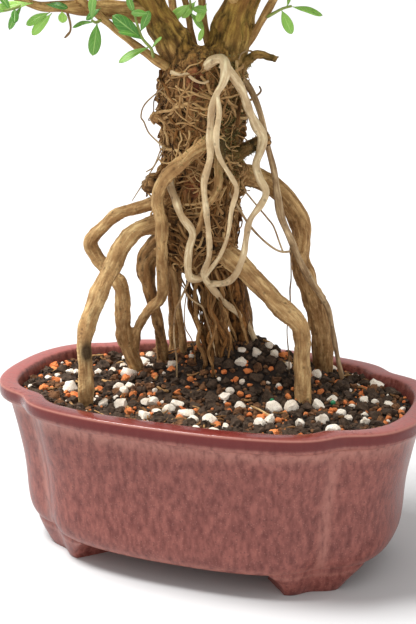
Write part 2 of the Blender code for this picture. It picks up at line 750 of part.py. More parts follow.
def trunk_body(parts, bark):
    """The trunk: a thick tube drawn into ridges, as roots grown together."""
    trunk = tube("tree_wood", TRUNK, parts, TRUNK_SIDES)
    for vert in trunk.data.vertices:
        axis = trunk_axis(vert.co.z)
        out = Vector((vert.co.x - axis.x, vert.co.y - axis.y, 0.0))
        if out.length < 0.004:
            continue
        angle = math.atan2(out.y, out.x)
        ridge = math.sin(TRUNK_RIDGES * angle + 18.0 * vert.co.z) + 0.5 * math.sin(3 * angle - 31.0 * vert.co.z)
        vert.co += out.normalized() * TRUNK_RIDGE_DEPTH * ridge * min(1.0, out.length / 0.015)
    trunk.data.materials.append(bark)
    return trunk


def build_wood(parts, bark):
    """Trunk, roots, cut stubs, limbs and branches, grown together as one piece."""
    wood = trunk_body(parts, bark)
    grown = new_collection("grown")
    for group in (ROOTS, STUBS, LIMBS, BRANCHES):
        for name, route in group.items():
            tube(name, stem_points(route), grown, stem_sides(route))
    boolean(wood, grown, "UNION", "MANIFOLD")
    wood.data.shade_smooth()
    wood.data.set_sharp_from_angle(angle=math.radians(50))
    return wood


def leaf_mesh(base, tip, roll, width):
    """A pointed blade from its base to its tip."""
    bm = bmesh.new()
    bmesh.ops.create_circle(bm, cap_ends=True, segments=6, radius=1.0)
    along = tip - base
    length = along.length
    along.normalize()
    side = along.cross(Vector((0, 0, 1)))
    if side.length < 0.1:
        side = along.cross(Vector((0, 1, 0)))
    side.normalize()
    side = side * math.cos(roll) + side.cross(along) * math.sin(roll)
    outline = ((0.0, 0.0), (0.36, 1.0), (0.72, 0.80), (1.0, 0.0), (0.72, -0.80), (0.36, -1.0))
    bm.verts.ensure_lookup_table()
    order = sorted(bm.verts, key=lambda vert: math.atan2(vert.co.y, vert.co.x) % (2 * math.pi))
    for vert, (far, out) in zip(order, outline):
        vert.co = base + along * length * far + side * out * width / 2
    bmesh.ops.solidify(bm, geom=bm.faces[:], thickness=LEAF_THICKNESS)
    bmesh.ops.recalc_face_normals(bm, faces=bm.faces)
    return mesh_from(bm, "leaf")


def tree_of(mesh):
    """A search tree of a mesh's faces, for testing what crosses it."""
    mesh.calc_loop_triangles()
    faces = [tuple(triangle.vertices) for triangle in mesh.loop_triangles]
    return BVHTree.FromPolygons([vert.co.copy() for vert in mesh.vertices], faces)


def swollen(mesh, amount):
    """A copy of a mesh with its points moved out by a small amount."""
    copy = mesh.copy()
    offsets = [vert.normal.copy() * amount for vert in mesh.vertices]
    for vert, offset in zip(copy.vertices, offsets):
        vert.co += offset
    return copy


def is_clear(mesh, trees, margin):
    """Whether the mesh, swollen by a margin, crosses none of the others."""
    test = swollen(mesh, margin)
    tree = tree_of(test)
    bpy.data.meshes.remove(test)
    return not any(tree.overlap(other) for other in trees)


def along_stem(stem, share):
    """The point at a share of the way along a stem, and the stem's heading there."""
    place = share * (len(stem) - 1)
    i = min(int(place), len(stem) - 2)
    return stem[i].lerp(stem[i + 1], place - i), (stem[i + 1] - stem[i]).normalized()


def leaf_frames(stem, rng):
    """Where leaves leave a stem: crossed pairs along it and one leaf at its tip."""
    frames = []
    for pair, share in enumerate(LEAF_PAIRS):
        point, along = along_stem(stem, share)
        side = along.cross(Vector((0, 0, 1))).normalized()
        up = side.cross(along)
        turn = pair * math.pi / 2 + rng.uniform(-0.3, 0.3)
        for half in (0, math.pi):
            out = side * math.cos(turn + half) + up * math.sin(turn + half)
            lean = rng.uniform(0.45, 0.75) + 0.35 * pair
            frames.append((point, (out + along * lean).normalized()))
    frames.append((stem[-1] - along * 0.0012, along))
    return frames


def twig(name, stem, parts):
    """The slim green stem of a shoot."""
    return tube(name, [(*(point / MM), TWIG_RADIUS) for point in stem], parts, 4)


def leafy_shoot(shoot, leaves, finish, trees):
    """Join leaves to a twig. A leaf that would cross another piece is turned aside,
    and left off where no turn clears it."""
    own = [tree_of(shoot.data)]
    blades = new_collection("blades")
    for base, tip, roll, width in leaves:
        for turn in TURNS:
            mesh = leaf_mesh(base, turned(base, tip, turn), roll + turn, width)
            if is_clear(mesh, trees, 2 * GAP):
                mesh_object("blade", mesh, blades)
                own.append(tree_of(mesh))
                break
            bpy.data.meshes.remove(mesh)
    trees.extend(own)
    boolean(shoot, blades, "UNION", "EXACT")
    shoot.data.materials.append(finish)
    shoot.data.shade_smooth()
    shoot.data.set_sharp_from_angle(angle=math.radians(25))
    return shoot


def turned(base, tip, turn):
    """The tip swung about the vertical through the base."""
    arm = tip - base
    cos, sin = math.cos(turn), math.sin(turn)
    return base + Vector((arm.x * cos - arm.y * sin, arm.x * sin + arm.y * cos, arm.z))


def shoot_stem(origin, clear, heading, length):
    """Points of a twig that leaves the wood along its heading and bends upwards."""
    stem = [origin + heading * clear]
    for k in range(3):
        heading = (heading + Vector((0, 0, 0.12))).normalized()
        stem.append(stem[-1] + heading * length / 3)
    return stem


def branch_shoots():
    """Where shoots leave the branches: place, distance to keep from it and heading."""
    seats = []
    for route in (*BRANCHES.values(), *LIMBS.values()):
        tip, before = Vector(route[-1][:3]) * MM, Vector(route[-2][:3]) * MM
        seats.append((tip, TIP_GAP, (tip - before).normalized()))
    for name, indices in SIDE_SHOOTS.items():
        points = [Vector(point[:3]) * MM for point in BRANCHES[name]]
        for rank, index in enumerate(indices):
            along = (points[index + 1] - points[index - 1]).normalized()
            side = along.cross(Vector((0, 0, 1))).normalized() * (-1) ** rank
            heading = (side * 0.9 + along * 0.5 + Vector((0, 0, 0.35))).normalized()
            radius = BRANCHES[name][index][3] * MM
            seats.append((points[index], radius + SIDE_GAP, heading))
    return seats


def seated_twig(name, seat, length, parts, trees):
    """A twig at its seat, swung aside where it would cross another piece."""
    origin, clear, heading = seat
    for turn in TURNS:
        swung = turned(Vector(), heading, turn)
        stem = shoot_stem(origin, clear, swung, length)
        shoot = twig(name, stem, parts)
        if is_clear(shoot.data, trees, GAP / 2):
            return shoot, stem
        bpy.data.objects.remove(shoot, do_unlink=True)
    raise ValueError(f"{name} has no clear heading")


def low_shoot(name, parts, finish, trees):
    """One of the low shoots, grown from the nearest wood, its leaves where they are seen."""
    stem_points, leaf_points = LOW_SHOOTS[name]
    stem = [Vector(point) * MM for point in stem_points]
    spot, outward, _, _ = trees[0].find_nearest(stem[0])
    stem[0] = spot + outward * SIDE_GAP
    leaves = []
    for rank, (share, tip) in enumerate(leaf_points):
        start = along_stem(stem, share)[0]
        end = Vector(tip) * MM
        leaves.append((start, end, 0.4 * (-1) ** rank, (end - start).length * LEAF_WIDTH_RATIO))
    return leafy_shoot(twig(name, stem, parts), leaves, finish, trees)


def build_shoots(parts, finish, wood):
    """All the leafy shoots, each clear of the wood and of the others."""
    rng = random.Random(5)
    trees = [tree_of(wood.data)]
    shoots = [low_shoot(name, parts, finish, trees) for name in LOW_SHOOTS]
    for number, seat in enumerate(branch_shoots(), 1):
        name = f"shoot_{number:02d}"
        shoot, stem = seated_twig(name, seat, rng.uniform(*TWIG_LENGTH), parts, trees)
        leaves = []
        for point, direction in leaf_frames(stem, rng):
            length = rng.uniform(*LEAF_LENGTH)
            width = length * (LEAF_WIDTH_RATIO + rng.uniform(-0.03, 0.05))
            leaves.append((point, point + direction * length, rng.uniform(-0.5, 0.5), width))
        shoots.append(leafy_shoot(shoot, leaves, finish, trees))
    return shoots


def main():
    """Build the bonsai from the pot up."""
    clear_scene()
    parts = new_collection("serissa_bonsai")
    glaze = material("glaze_red_brown", (0.30, 0.115, 0.095), 0.22, coat=0.6)
    plastic = material("plastic_black", (0.02, 0.02, 0.02), 0.5)
    mix = material("potting_mix", (0.10, 0.075, 0.055), 0.95)
    bark = material("root_bark", (0.42, 0.27, 0.13), 0.8)
    green = material("serissa_leaf", (0.10, 0.28, 0.04), 0.45)
    build_pot(parts, glaze)
    build_screen("drain_screen_left", -1, parts, plastic)
    build_screen("drain_screen_right", 1, parts, plastic)
    wood = build_wood(parts, bark)
    build_soil(parts, mix, ROOTS)
    build_shoots(parts, green, wood)


main()
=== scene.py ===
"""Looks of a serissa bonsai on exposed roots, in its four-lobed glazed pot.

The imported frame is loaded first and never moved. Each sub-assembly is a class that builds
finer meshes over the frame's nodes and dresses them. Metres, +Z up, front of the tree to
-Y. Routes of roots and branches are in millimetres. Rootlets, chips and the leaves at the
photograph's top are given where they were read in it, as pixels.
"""

import logging
import math
import random
from collections.abc import Iterator, Sequence
from dataclasses import dataclass, field
from enum import Enum

import bmesh
import bpy
import numpy as np
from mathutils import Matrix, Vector
from mathutils.bvhtree import BVHTree
from mathutils.kdtree import KDTree
from mathutils.noise import noise


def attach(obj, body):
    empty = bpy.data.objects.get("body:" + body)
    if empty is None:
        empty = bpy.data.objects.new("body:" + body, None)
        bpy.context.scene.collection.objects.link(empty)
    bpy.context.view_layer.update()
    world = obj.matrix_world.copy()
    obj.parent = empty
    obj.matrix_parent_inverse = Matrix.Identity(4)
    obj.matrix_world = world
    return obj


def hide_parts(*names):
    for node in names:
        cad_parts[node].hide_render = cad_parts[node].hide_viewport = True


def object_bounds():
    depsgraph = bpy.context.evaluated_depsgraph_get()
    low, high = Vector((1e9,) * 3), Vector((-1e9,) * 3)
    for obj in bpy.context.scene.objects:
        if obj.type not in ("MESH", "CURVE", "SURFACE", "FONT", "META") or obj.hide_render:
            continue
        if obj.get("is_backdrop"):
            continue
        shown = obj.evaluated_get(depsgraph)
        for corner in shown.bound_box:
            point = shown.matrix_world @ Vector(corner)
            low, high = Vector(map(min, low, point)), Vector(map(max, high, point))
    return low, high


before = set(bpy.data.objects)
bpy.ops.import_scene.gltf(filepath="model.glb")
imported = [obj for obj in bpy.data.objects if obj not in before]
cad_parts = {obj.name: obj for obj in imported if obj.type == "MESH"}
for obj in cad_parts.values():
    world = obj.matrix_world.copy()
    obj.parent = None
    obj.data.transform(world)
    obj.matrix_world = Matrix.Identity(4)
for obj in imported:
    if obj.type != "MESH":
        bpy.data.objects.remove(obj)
CAD_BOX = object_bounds()

Station = tuple[float, float, float, float]
Route = tuple[Station, ...]
Colour = tuple[float, float, float]
Reading = tuple[float, float, float]
Faces = list[Sequence[int]]
Line = Sequence[Vector]
Material, Mesh, Thing = bpy.types.Material, bpy.types.Mesh, bpy.types.Object
Node, Tree, Socket = bpy.types.Node, bpy.types.NodeTree, bpy.types.NodeSocket
Pieces = Iterator[Thing]

LOG = logging.getLogger("bonsai")
MM = 0.001
BODY = "root"


class Slot(Enum):
    """The record's material slots."""

    GLAZE = "pot_glaze"
    MIX = "potting_mix"
    BARK = "bark"
    LEAF = "leaf"
    MESH = "drain_mesh"


class Grit(Enum):
    """Kinds of chips in the potting mix."""

    PUMICE = "pumice"
    LAVA = "lava"
    CLAY = "clay"
    EARTH = "earth"


def linear(red: float, green: float, blue: float) -> tuple[float, float, float, float]:
    """Turn a display colour into the renderer's own.

    Args:
        red: Red from 0 to 255.
        green: Green from 0 to 255.
        blue: Blue from 0 to 255.

    Returns:
        The linear colour, with an alpha of 1.
    """

    def channel(value: float) -> float:
        """One channel of the colour."""
        share = value / 255.0
        return share / 12.92 if share <= 0.04045 else ((share + 0.055) / 1.055) ** 2.4

    return (channel(red), channel(green), channel(blue), 1.0)


@dataclass(frozen=True)
class Sight:
    """The photograph's view, which turns a pixel read in it into a place in millimetres."""

    azimuth: float = 0.366
    elevation: float = 0.25
    distance: float = 554.3
    target: Reading = (-2.2, 0.0, 114.5)
    focal: float = 1176.8
    width: int = 416
    height: int = 624
    mound_floor: float = 75.0
    mound_rise: float = 25.0
    mound_middle: tuple[float, float] = (5.0, 20.0)
    mound_half: tuple[float, float] = (33.0, 25.0)
    mound_back: float = 32.0
    steps: tuple[float, float, int] = (300.0, 900.0, 6001)

    def back(self) -> np.ndarray:
        """The way from the target to the camera."""
        level = math.cos(self.elevation)
        x, y = math.sin(self.azimuth) * level, -math.cos(self.azimuth) * level
        return np.array([x, y, math.sin(self.elevation)])

    def away(self) -> np.ndarray:
        """The level way from the camera."""
        return np.array([-math.sin(self.azimuth), math.cos(self.azimuth), 0.0])

    def eye(self) -> np.ndarray:
        """The camera's place."""
        return np.array(self.target) + self.back() * self.distance

    def ray(self, px: float, py: float) -> np.ndarray:
        """The sight line through a pixel.

        Args:
            px: Pixels from the photograph's left edge.
            py: Pixels from its top edge.

        Returns:
            The line's direction, of length 1 along the middle of the view.
        """
        ahead = -self.back()
        right = np.array([math.cos(self.azimuth), math.sin(self.azimuth), 0.0])
        across, down = (px - self.width / 2) / self.focal, (py - self.height / 2) / self.focal
        return ahead + right * across - np.cross(right, ahead) * down

    def meet(self, px: float, py: float, facing: np.ndarray, reach: float) -> np.ndarray:
        """Where the sight line through a pixel meets an upright plane."""
        eye, ray = self.eye(), self.ray(px, py)
        return eye + ray * (reach - eye @ facing) / (ray @ facing)

    def across(self, reading: Reading) -> np.ndarray:
        """The place of a pixel at a given y, to a tenth of a millimetre."""
        return np.round(self.meet(*reading[:2], np.array([0.0, 1.0, 0.0]), reading[2]), 1)

    def route(self, readings: Route) -> Route:
        """A route from pixels, each with its depth behind the pot's middle and a radius.

        Args:
            readings: Pixels, depths and radii.

        Returns:
            Places and radii, to a tenth of a millimetre.
        """
        made = []
        for px, py, depth, radius in readings:
            made.append((*np.round(self.meet(px, py, self.away(), depth), 1).tolist(), radius))
        return tuple(made)

    def seat(self, px: float, py: float) -> np.ndarray:
        """Where the sight line through a pixel meets the mound.

        Args:
            px: Pixels from the photograph's left edge.
            py: Pixels from its top edge.

        Returns:
            The place.
        """
        line = self.eye() + self.ray(px, py) * np.linspace(*self.steps)[:, None]
        line = line[line @ self.away() < self.mound_back]
        (middle_x, middle_y), (half_x, half_y) = self.mound_middle, self.mound_half
        away = ((line[:, 0] - middle_x) / half_x) ** 2 + ((line[:, 1] - middle_y) / half_y) ** 2
        mound = self.mound_floor + self.mound_rise * np.exp(-away)
        under = np.flatnonzero(line[:, 2] < mound)
        first = under[0] if under.size else -1
        return np.array([line[first, 0], line[first, 1], mound[first]])

    def chip(self, reading: Reading) -> Reading:
        """A chip from its pixel and half its width in millimetres."""
        place = self.seat(*reading[:2])
        return round(float(place[0]), 1), round(float(place[1]), 1), reading[2]


SIGHT = Sight()

# Routes of the wood

TRUNK: Route = (
    (-7, 1, 131, 5.0), (-7.5, 1.5, 137, 11.0), (-8, 3.5, 145, 15.5), (-9, 5, 155, 17.6),
    (-9.5, 6, 166, 18.4), (-8, 7.5, 178, 17.6), (-8, 7.5, 190, 17.4), (-8, 7.5, 202, 18.4),
    (-8, 7.5, 213, 19.0), (-8, 7.5, 223, 18.2), (-8.5, 7.5, 231, 15.0), (-8, 8, 236, 8.0),
)

ROOTS: dict[str, Route] = {
    "far_left": (
        (-18, 1, 166, 4.2), (-28, 0, 165, 3.6), (-38, -1, 162, 3.0), (-47, -2, 159, 3.0),
        (-55, -3, 152, 3.2), (-61, -4, 145, 3.6), (-58, -4, 138, 3.4), (-51, -3, 130, 3.6),
        (-46, -2, 123, 3.8), (-47, 1, 110, 4.0), (-49, 6, 97, 3.9), (-48, 11, 87, 3.8),
        (-46, 15, 77, 3.8), (-46, 16, 68, 3.4),
    ),
    "front_left": (
        (-14, -2, 158, 5.0), (-22, -5, 157, 4.7), (-32, -13, 154, 4.2), (-37, -17, 149, 4.2),
        (-40, -21, 141, 4.3), (-43, -25, 132, 4.4), (-46, -30, 122, 4.3), (-48, -34, 113, 4.0),
        (-49, -37, 104, 3.6), (-48, -38, 95, 3.5), (-48, -38, 86, 3.6), (-49, -36, 75, 3.8),
        (-49, -36, 66, 3.4),
    ),
    "crossing": (
        (0, 0, 199, 3.4), (2, -8, 196, 3.4), (-4, -13, 191, 3.2), (-10, -18, 185, 3.1),
        (-16, -20, 178, 3.1), (-19, -20, 169, 3.0), (-17, -20, 160, 3.0), (-18, -18, 151, 3.0),
        (-20, -13, 140, 2.9), (-22, -7, 128, 2.9), (-25, -3, 120, 2.8), (-31, -1, 114, 2.6),
        (-38, 3, 106, 2.5), (-43, 8, 97, 2.4), (-48, 15, 81, 2.4), (-51, 17, 70, 2.2),
    ),
    "hook": (
        (-14, -6, 180, 2.3), (-16, -12, 177, 2.3), (-11, -18, 170, 2.1), (-7, -21, 163, 2.0),
        (-2, -20, 156, 2.1), (-4, -19, 148, 2.1), (-5, -18, 140, 2.1), (-5, -15, 134, 2.0),
        (-2, -11, 133, 2.0), (-4, -3, 133, 2.0),
    ),
    "drape_main": (
        (-2, 1, 226, 2.6), (0, -7, 228, 2.4), (5, -12, 231, 2.5), (10, -15, 232, 2.5),
        (12, -16, 228, 2.5), (11, -16, 222, 2.1), (8, -16, 217, 1.9), (6, -17, 209, 1.9),
        (5, -16, 199, 1.9), (5, -16, 189, 1.8), (3, -18, 178, 1.7), (4, -19, 167, 1.6),
        (5, -18, 155, 1.6), (4, -15, 145, 1.6), (0, -11, 135, 1.8), (2, -6, 128, 1.9),
        (5, 3, 119, 1.8), (8, 11, 113, 1.8), (11, 18, 105, 1.8), (15, 21, 95, 1.8),
        (17, 21, 86, 1.6),
    ),
    "drape_right": (
        (10, -14, 230, 2.5), (14, -11, 224, 2.4), (16, -6, 218, 2.4), (18, -1, 209, 2.3),
        (20, 3, 202, 2.5), (22, 5, 197, 2.8), (22, 3, 191, 2.2), (21, 0, 185, 2.1),
        (23, -1, 179, 2.0), (26, -1, 173, 1.9), (25, -4, 168, 1.8), (21, -8, 161, 1.7),
        (20, -10, 153, 1.6), (19, -11, 145, 1.6), (15, -10, 136, 1.8), (9, -7, 131, 1.9),
        (2, -7, 130, 1.8),
    ),
    "drape_thin": (
        (8, -16, 217, 1.5), (10, -18, 209, 1.4), (9, -19, 199, 1.4), (10, -18, 190, 1.4),
        (14, -14, 181, 1.3), (16, -12, 175, 1.2), (14, -13, 166, 1.2), (13, -15, 155, 1.1),
        (9, -14, 145, 1.1), (3, -12, 137, 1.1), (0, -10, 133, 1.1),
    ),
    "middle": (
        (2, -2, 198, 3.0), (7, -9, 193, 2.7), (7, -11, 184, 2.3), (7, -13, 174, 1.9),
        (2, -15, 166, 1.6), (0, -17, 158, 1.5), (-3, -20, 152, 1.5),
    ),
    "outer_right": (
        (8, 9, 224, 2.0), (13, 9, 220, 1.8), (18, 7, 213, 1.6), (21, 8, 204, 1.5),
        (23, 10, 193, 1.6), (26, 10, 182, 1.7), (28, 9, 172, 1.9), (30, 9, 161, 2.0),
        (34, 12, 150, 2.0), (38, 16, 138, 1.9), (43, 21, 127, 1.8), (49, 26, 115, 1.5),
        (51, 30, 100, 1.4), (53, 32, 88, 1.3), (55, 34, 77, 1.3), (56, 34, 69, 1.2),
    ),
    "right": (
        (-2, 9, 181, 5.6), (6, 15, 179, 5.2), (16, 23, 175, 4.9), (24, 26, 169, 4.9),
        (31, 29, 159, 5.0), (34, 30, 150, 5.0), (33, 30, 138, 4.8), (37, 31, 125, 5.0),
        (41, 33, 114, 5.3), (43, 36, 100, 5.2), (43, 41, 88, 5.0), (42, 45, 77, 5.0),
        (42, 46, 68, 4.6),
    ),
    "front_right": (
        (-14, 0, 156, 5.0), (-3, -2, 150, 4.9), (7, -2, 144, 4.9), (16, -1, 137, 4.9),
        (25, 1, 128, 4.8), (34, 2, 119, 4.5), (41, 4, 112, 4.3), (43, 4, 104, 4.0),
        (43, 3, 95, 3.9), (44, 2, 86, 4.0), (45, 0, 77, 4.2), (45, 0, 68, 3.8),
    ),
    "mid_left": (
        (-17, -1, 143, 3.4), (-20, 1, 134, 2.4), (-20, 4, 124, 2.1), (-21, 8, 112, 2.0),
        (-21, 13, 100, 2.0), (-22, 18, 88, 2.1), (-22, 19, 79, 1.9),
    ),
    "middle_low": (
        (-4, 1, 136, 3.6), (-5, 4, 127, 2.9), (-6, 7, 117, 2.7), (-7, 12, 107, 2.6),
        (-9, 18, 97, 2.6), (-10, 20, 86, 2.4),
    ),
    "dark_bundle": (
        (3, 9, 141, 6.6), (5, 12, 132, 5.7), (6, 14, 122, 5.1), (7, 17, 111, 5.0),
        (8, 20, 99, 5.2), (8, 21, 89, 4.8),
    ),
    "back_left": (
        (-25, 3, 148, 5.6), (-31, 2, 142, 5.8), (-34, 1, 135, 5.0), (-34, 3, 125, 3.6),
        (-33, 7, 113, 3.0), (-33, 14, 98, 3.0), (-34, 20, 83, 3.2), (-34, 21, 74, 2.9),
    ),
    "back": (
        (-6, 16, 150, 5.5), (-6, 27, 143, 4.8), (-4, 36, 131, 4.4), (-1, 41, 117, 4.2),
        (1, 43, 103, 4.2), (2, 44, 90, 4.3), (2, 44, 79, 4.0),
    ),
    "back_low": (
        (-18, 12, 146, 4.8), (-26, 20, 138, 4.2), (-31, 29, 126, 3.7), (-34, 35, 112, 3.6),
        (-35, 39, 97, 3.6), (-36, 41, 84, 3.7), (-36, 41, 74, 3.4),
    ),
}

STUBS: dict[str, Route] = {
    "low_left": ((-16, 2, 173, 5.0), (-23, 0, 174, 5.3), (-28, -6, 175, 5.0), (-30, -8, 176, 4.3)),
    "high_left": ((-18, 2, 203, 3.4), (-23, -1, 204, 2.8), (-27, -6, 205, 2.7)),
    "right": ((6, 6, 187, 4.0), (12, 6, 190, 3.6), (18, 6, 193, 3.3), (25, 8, 196, 3.1)),
    "top_right": (
        (4, 11, 226, 3.2), (11, 11, 229, 2.6), (18, 8, 233, 2.3), (23, 9, 232, 1.9),
        (27, 9, 231, 1.8),
    ),
}

LIMBS: dict[str, Route] = {
    "left": (
        (-11, 6, 222, 11.0), (-14, 4, 228, 10.2), (-18, 1, 236, 8.6), (-22, -3, 245, 7.2),
        (-27, -8, 256, 6.2), (-34, -12, 268, 5.2), (-43, -14, 280, 4.4), (-52, -14, 291, 3.4),
        (-62, -12, 301, 2.5),
    ),
    "right": (
        (-2, 11, 220, 12.0), (1, 12, 229, 11.0), (4, 13, 239, 9.4), (7, 12, 249, 8.5),
        (11, 12, 259, 7.6), (17, 10, 271, 6.4), (25, 8, 284, 5.0), (34, 6, 297, 3.6),
        (41, 4, 309, 2.6),
    ),
}

BRANCHES: dict[str, Route] = {
    "low_left": (
        (-15, 1, 224, 3.0), (-22, -6, 229, 2.4), (-30, -13, 236, 1.9), (-40, -21, 246, 1.7),
        (-48, -29, 255, 1.6), (-55, -38, 265, 1.5), (-60, -47, 275, 1.4),
    ),
    "far_left": (
        (-25, -6, 251, 5.0), (-34, -13, 252, 4.4), (-48, -25, 253.4, 3.4), (-58, -32, 253.8, 2.7),
        (-67, -38, 254.4, 1.9), (-77, -42, 259, 1.5), (-86, -44, 266, 1.4),
    ),
    "right_side": (
        (6, 13, 232, 2.6), (13, 13, 239, 2.0), (20, 13, 250, 1.8), (29, 11, 263, 1.7),
        (42, 6, 272, 1.6), (56, 0, 277, 1.5), (70, -6, 281, 1.4),
    ),
    "stem_outer": (
        (-17, 7, 234, 2.0), (-20, 8, 242, 1.7), (-23, 10, 254, 1.6), (-28, 17, 268, 1.5),
        (-34, 26, 278, 1.4), (-42, 36, 284, 1.3),
    ),
    "stem_middle": (
        (-11, 10, 230, 2.0), (-14, 10, 241, 1.7), (-16, 9, 254, 1.5), (-19, 4, 270, 1.4),
        (-21, -6, 284, 1.4), (-22, -18, 295, 1.3),
    ),
    "stem_inner": (
        (-5, 11, 231, 2.0), (-7, 11, 240, 1.7), (-9, 10, 255, 1.6), (-10, 14, 272, 1.5),
        (-12, 20, 290, 1.4), (-14, 24, 306, 1.3),
    ),
    "left_pad": (
        (-31, -10, 262, 3.0), (-44, -7, 268, 2.4), (-60, -2, 273, 1.9), (-77, 3, 277, 1.6),
        (-89, 7, 280, 1.4),
    ),
    "left_front": (
        (-37, -13, 272, 2.6), (-41, -26, 280, 2.0), (-47, -39, 287, 1.7), (-51, -51, 291, 1.4),
    ),
    "left_back": (
        (-46, -14, 283, 2.6), (-53, 3, 288, 2.0), (-61, 19, 290, 1.7), (-66, 33, 290, 1.4),
    ),
    "left_top": (
        (-42, -14, 279, 2.6), (-39, -13, 294, 2.1), (-38, -9, 305, 1.7), (-38, -4, 315, 1.4),
    ),
    "back_pad": (
        (7, 14, 247, 3.2), (5, 28, 257, 2.5), (1, 42, 267, 2.0), (-6, 56, 275, 1.5),
    ),
    "front_pad": (
        (9, 11, 254, 3.2), (6, -4, 263, 2.5), (2, -21, 270, 2.0), (-3, -38, 276, 1.7),
        (-8, -52, 281, 1.4),
    ),
    "right_front": (
        (14, 11, 265, 3.0), (23, -6, 274, 2.3), (33, -24, 280, 1.8), (41, -40, 284, 1.4),
    ),
    "right_back": (
        (18, 10, 272, 2.8), (26, 26, 279, 2.2), (34, 41, 284, 1.7), (39, 53, 286, 1.4),
    ),
    "right_pad": (
        (24, 8, 282, 2.8), (41, 14, 287, 2.2), (59, 20, 288, 1.8), (76, 24, 287, 1.5),
        (87, 25, 286, 1.3),
    ),
    "right_top": (
        (33, 6, 295, 2.4), (46, 2, 302, 2.0), (59, -3, 306, 1.6), (70, -8, 307, 1.3),
    ),
    "crown": (
        (22, 9, 279, 2.8), (14, 5, 295, 2.3), (7, 2, 307, 1.9), (1, 2, 319, 1.4),
    ),
}

# Stations of a branch where a shoot leaves it sideways.
SIDE_SHOOTS: dict[str, tuple[int, ...]] = {
    "low_left": (5,), "right_side": (4,), "stem_outer": (4,), "stem_inner": (4,),
    "left_pad": (2, 3), "left_back": (2,), "left_top": (2,), "back_pad": (2,),
    "front_pad": (2, 3), "right_front": (2,), "right_back": (2,), "right_pad": (2, 3), "crown": (2,),
}

# Rootlets that are seen one by one, in front of the trunk and hanging beside it. Each point
# is a pixel, its distance behind the pot's middle and its radius.
ROOTLETS: dict[str, Route] = {
    "hair_left": (
        (168, 84, 3.4, 0.4), (146, 103, 2.3, 0.35), (141, 116, 1.7, 0.35), (144, 122, 1, 0.35),
        (149, 133, 0.3, 0.35), (159, 143, -0.3, 0.35), (164, 148, -1, 0.35), (161, 149, -1.7, 0.35),
        (154, 166, -2.3, 0.32), (146, 172, -3, 0.3),
    ),
    "hair_left_low": (
        (165, 148, -1.5, 0.3), (152, 170, -3.7, 0.3), (144, 182, -4.5, 0.3), (137, 193, -5.3, 0.28),
        (132, 201, -6, 0.25),
    ),
    "pale_top": (
        (171, 72, -5.7, 0.9), (181, 75, -7.9, 0.8), (187, 74, -9.2, 0.7), (194, 80, -10.4, 0.7),
        (203, 83, -11, 0.6), (209, 81, -11, 0.5),
    ),
    "right_thin": (
        (229, 193, -6, 0.6), (241, 212, -5.5, 0.55), (251, 227, -5, 0.55), (263, 240, -4.5, 0.5),
        (275, 249, -4, 0.5), (283, 252, -3.5, 0.5), (290.5, 251.5, -2, 0.45),
    ),
    "right_thinner": (
        (243.5, 189.5, -2.2, 0.5), (259, 208, -2.2, 0.45), (268, 219, -2.4, 0.45),
        (274, 227, -2.6, 0.42), (280, 244, -2.8, 0.4), (283, 252, -3, 0.4),
    ),
    "right_fibre": (
        (291, 248, -1, 0.4), (291, 265, -1.5, 0.35), (291, 279, -1, 0.35), (290, 290, -0.5, 0.35),
        (290, 307, 0, 0.3), (287, 330, -0.6, 0.3), (289, 358, 0, 0.3), (289, 382, 0.9, 0.3),
    ),
    "hook_low": (
        (191, 276.5, -10, 0.6), (184, 292, -7.8, 0.5), (179, 303, -6.5, 0.5), (175, 313, -5.2, 0.45),
        (174, 335.5, -2.7, 0.4), (176.5, 358, 0, 0.4), (177, 382, 3.3, 0.35),
    ),
    "hook_low_right": (
        (185, 291.5, -8, 0.5), (192, 300, -7, 0.45), (202, 307, -5, 0.45), (206, 318, -3, 0.4),
        (212, 338, 0, 0.4), (217, 364, 3.4, 0.35),
    ),
    "small_hook": (
        (236, 100, 2.4, 0.6), (250, 100, 0, 0.55), (256, 96, 0.4, 0.5), (261, 91, 0.8, 0.45),
        (259, 86, 1.2, 0.4),
    ),
    "thin_arc": (
        (227, 70.5, 2.9, 0.4), (238, 60, 3.2, 0.4), (241, 54, 3.4, 0.4), (247, 51, 3.6, 0.4),
        (252, 51.5, 2.6, 0.4), (255.5, 55.5, 1.9, 0.4),
    ),
    "dead_twig": (
        (66.5, 9.5, -8.4, 0.55), (70, 22, -7.1, 0.5), (70.5, 30.5, -6.8, 0.45), (67.5, 35, -6.6, 0.6),
        (64.5, 38, -6.6, 0.35),
    ),
}

# Painted shade in the trunk's cavities, and reddish bark on it: place, width and height of each.
CAVITY_SHADE: tuple[tuple[float, float, float, float, float], ...] = (
    (8, -6, 237, 5, 4), (11, -6, 196, 8, 15), (0, -10, 150, 9, 8), (-46, -40, 101, 3.2, 5),
)
RED_PLACES: tuple[tuple[float, float, float, float, float], ...] = (
    (-4, -12, 222, 4, 9), (-4, -13, 176, 5, 6), (14, 5, 262, 7, 7), (8, -2, 212, 5, 5),
)

# How pale each root is, from dark bundle bark to cream: thin air roots are palest.
PALENESS: dict[str, float] = {
    "far_left": 0.72, "front_left": 0.78, "crossing": 0.74, "hook": 0.86, "drape_main": 0.92,
    "drape_right": 0.88, "drape_thin": 1.0, "middle": 0.62, "outer_right": 0.45, "right": 0.55,
    "front_right": 0.74, "mid_left": 0.66, "middle_low": 0.36, "dark_bundle": 0.05,
    "back_left": 0.5, "back": 0.42, "back_low": 0.42,
}

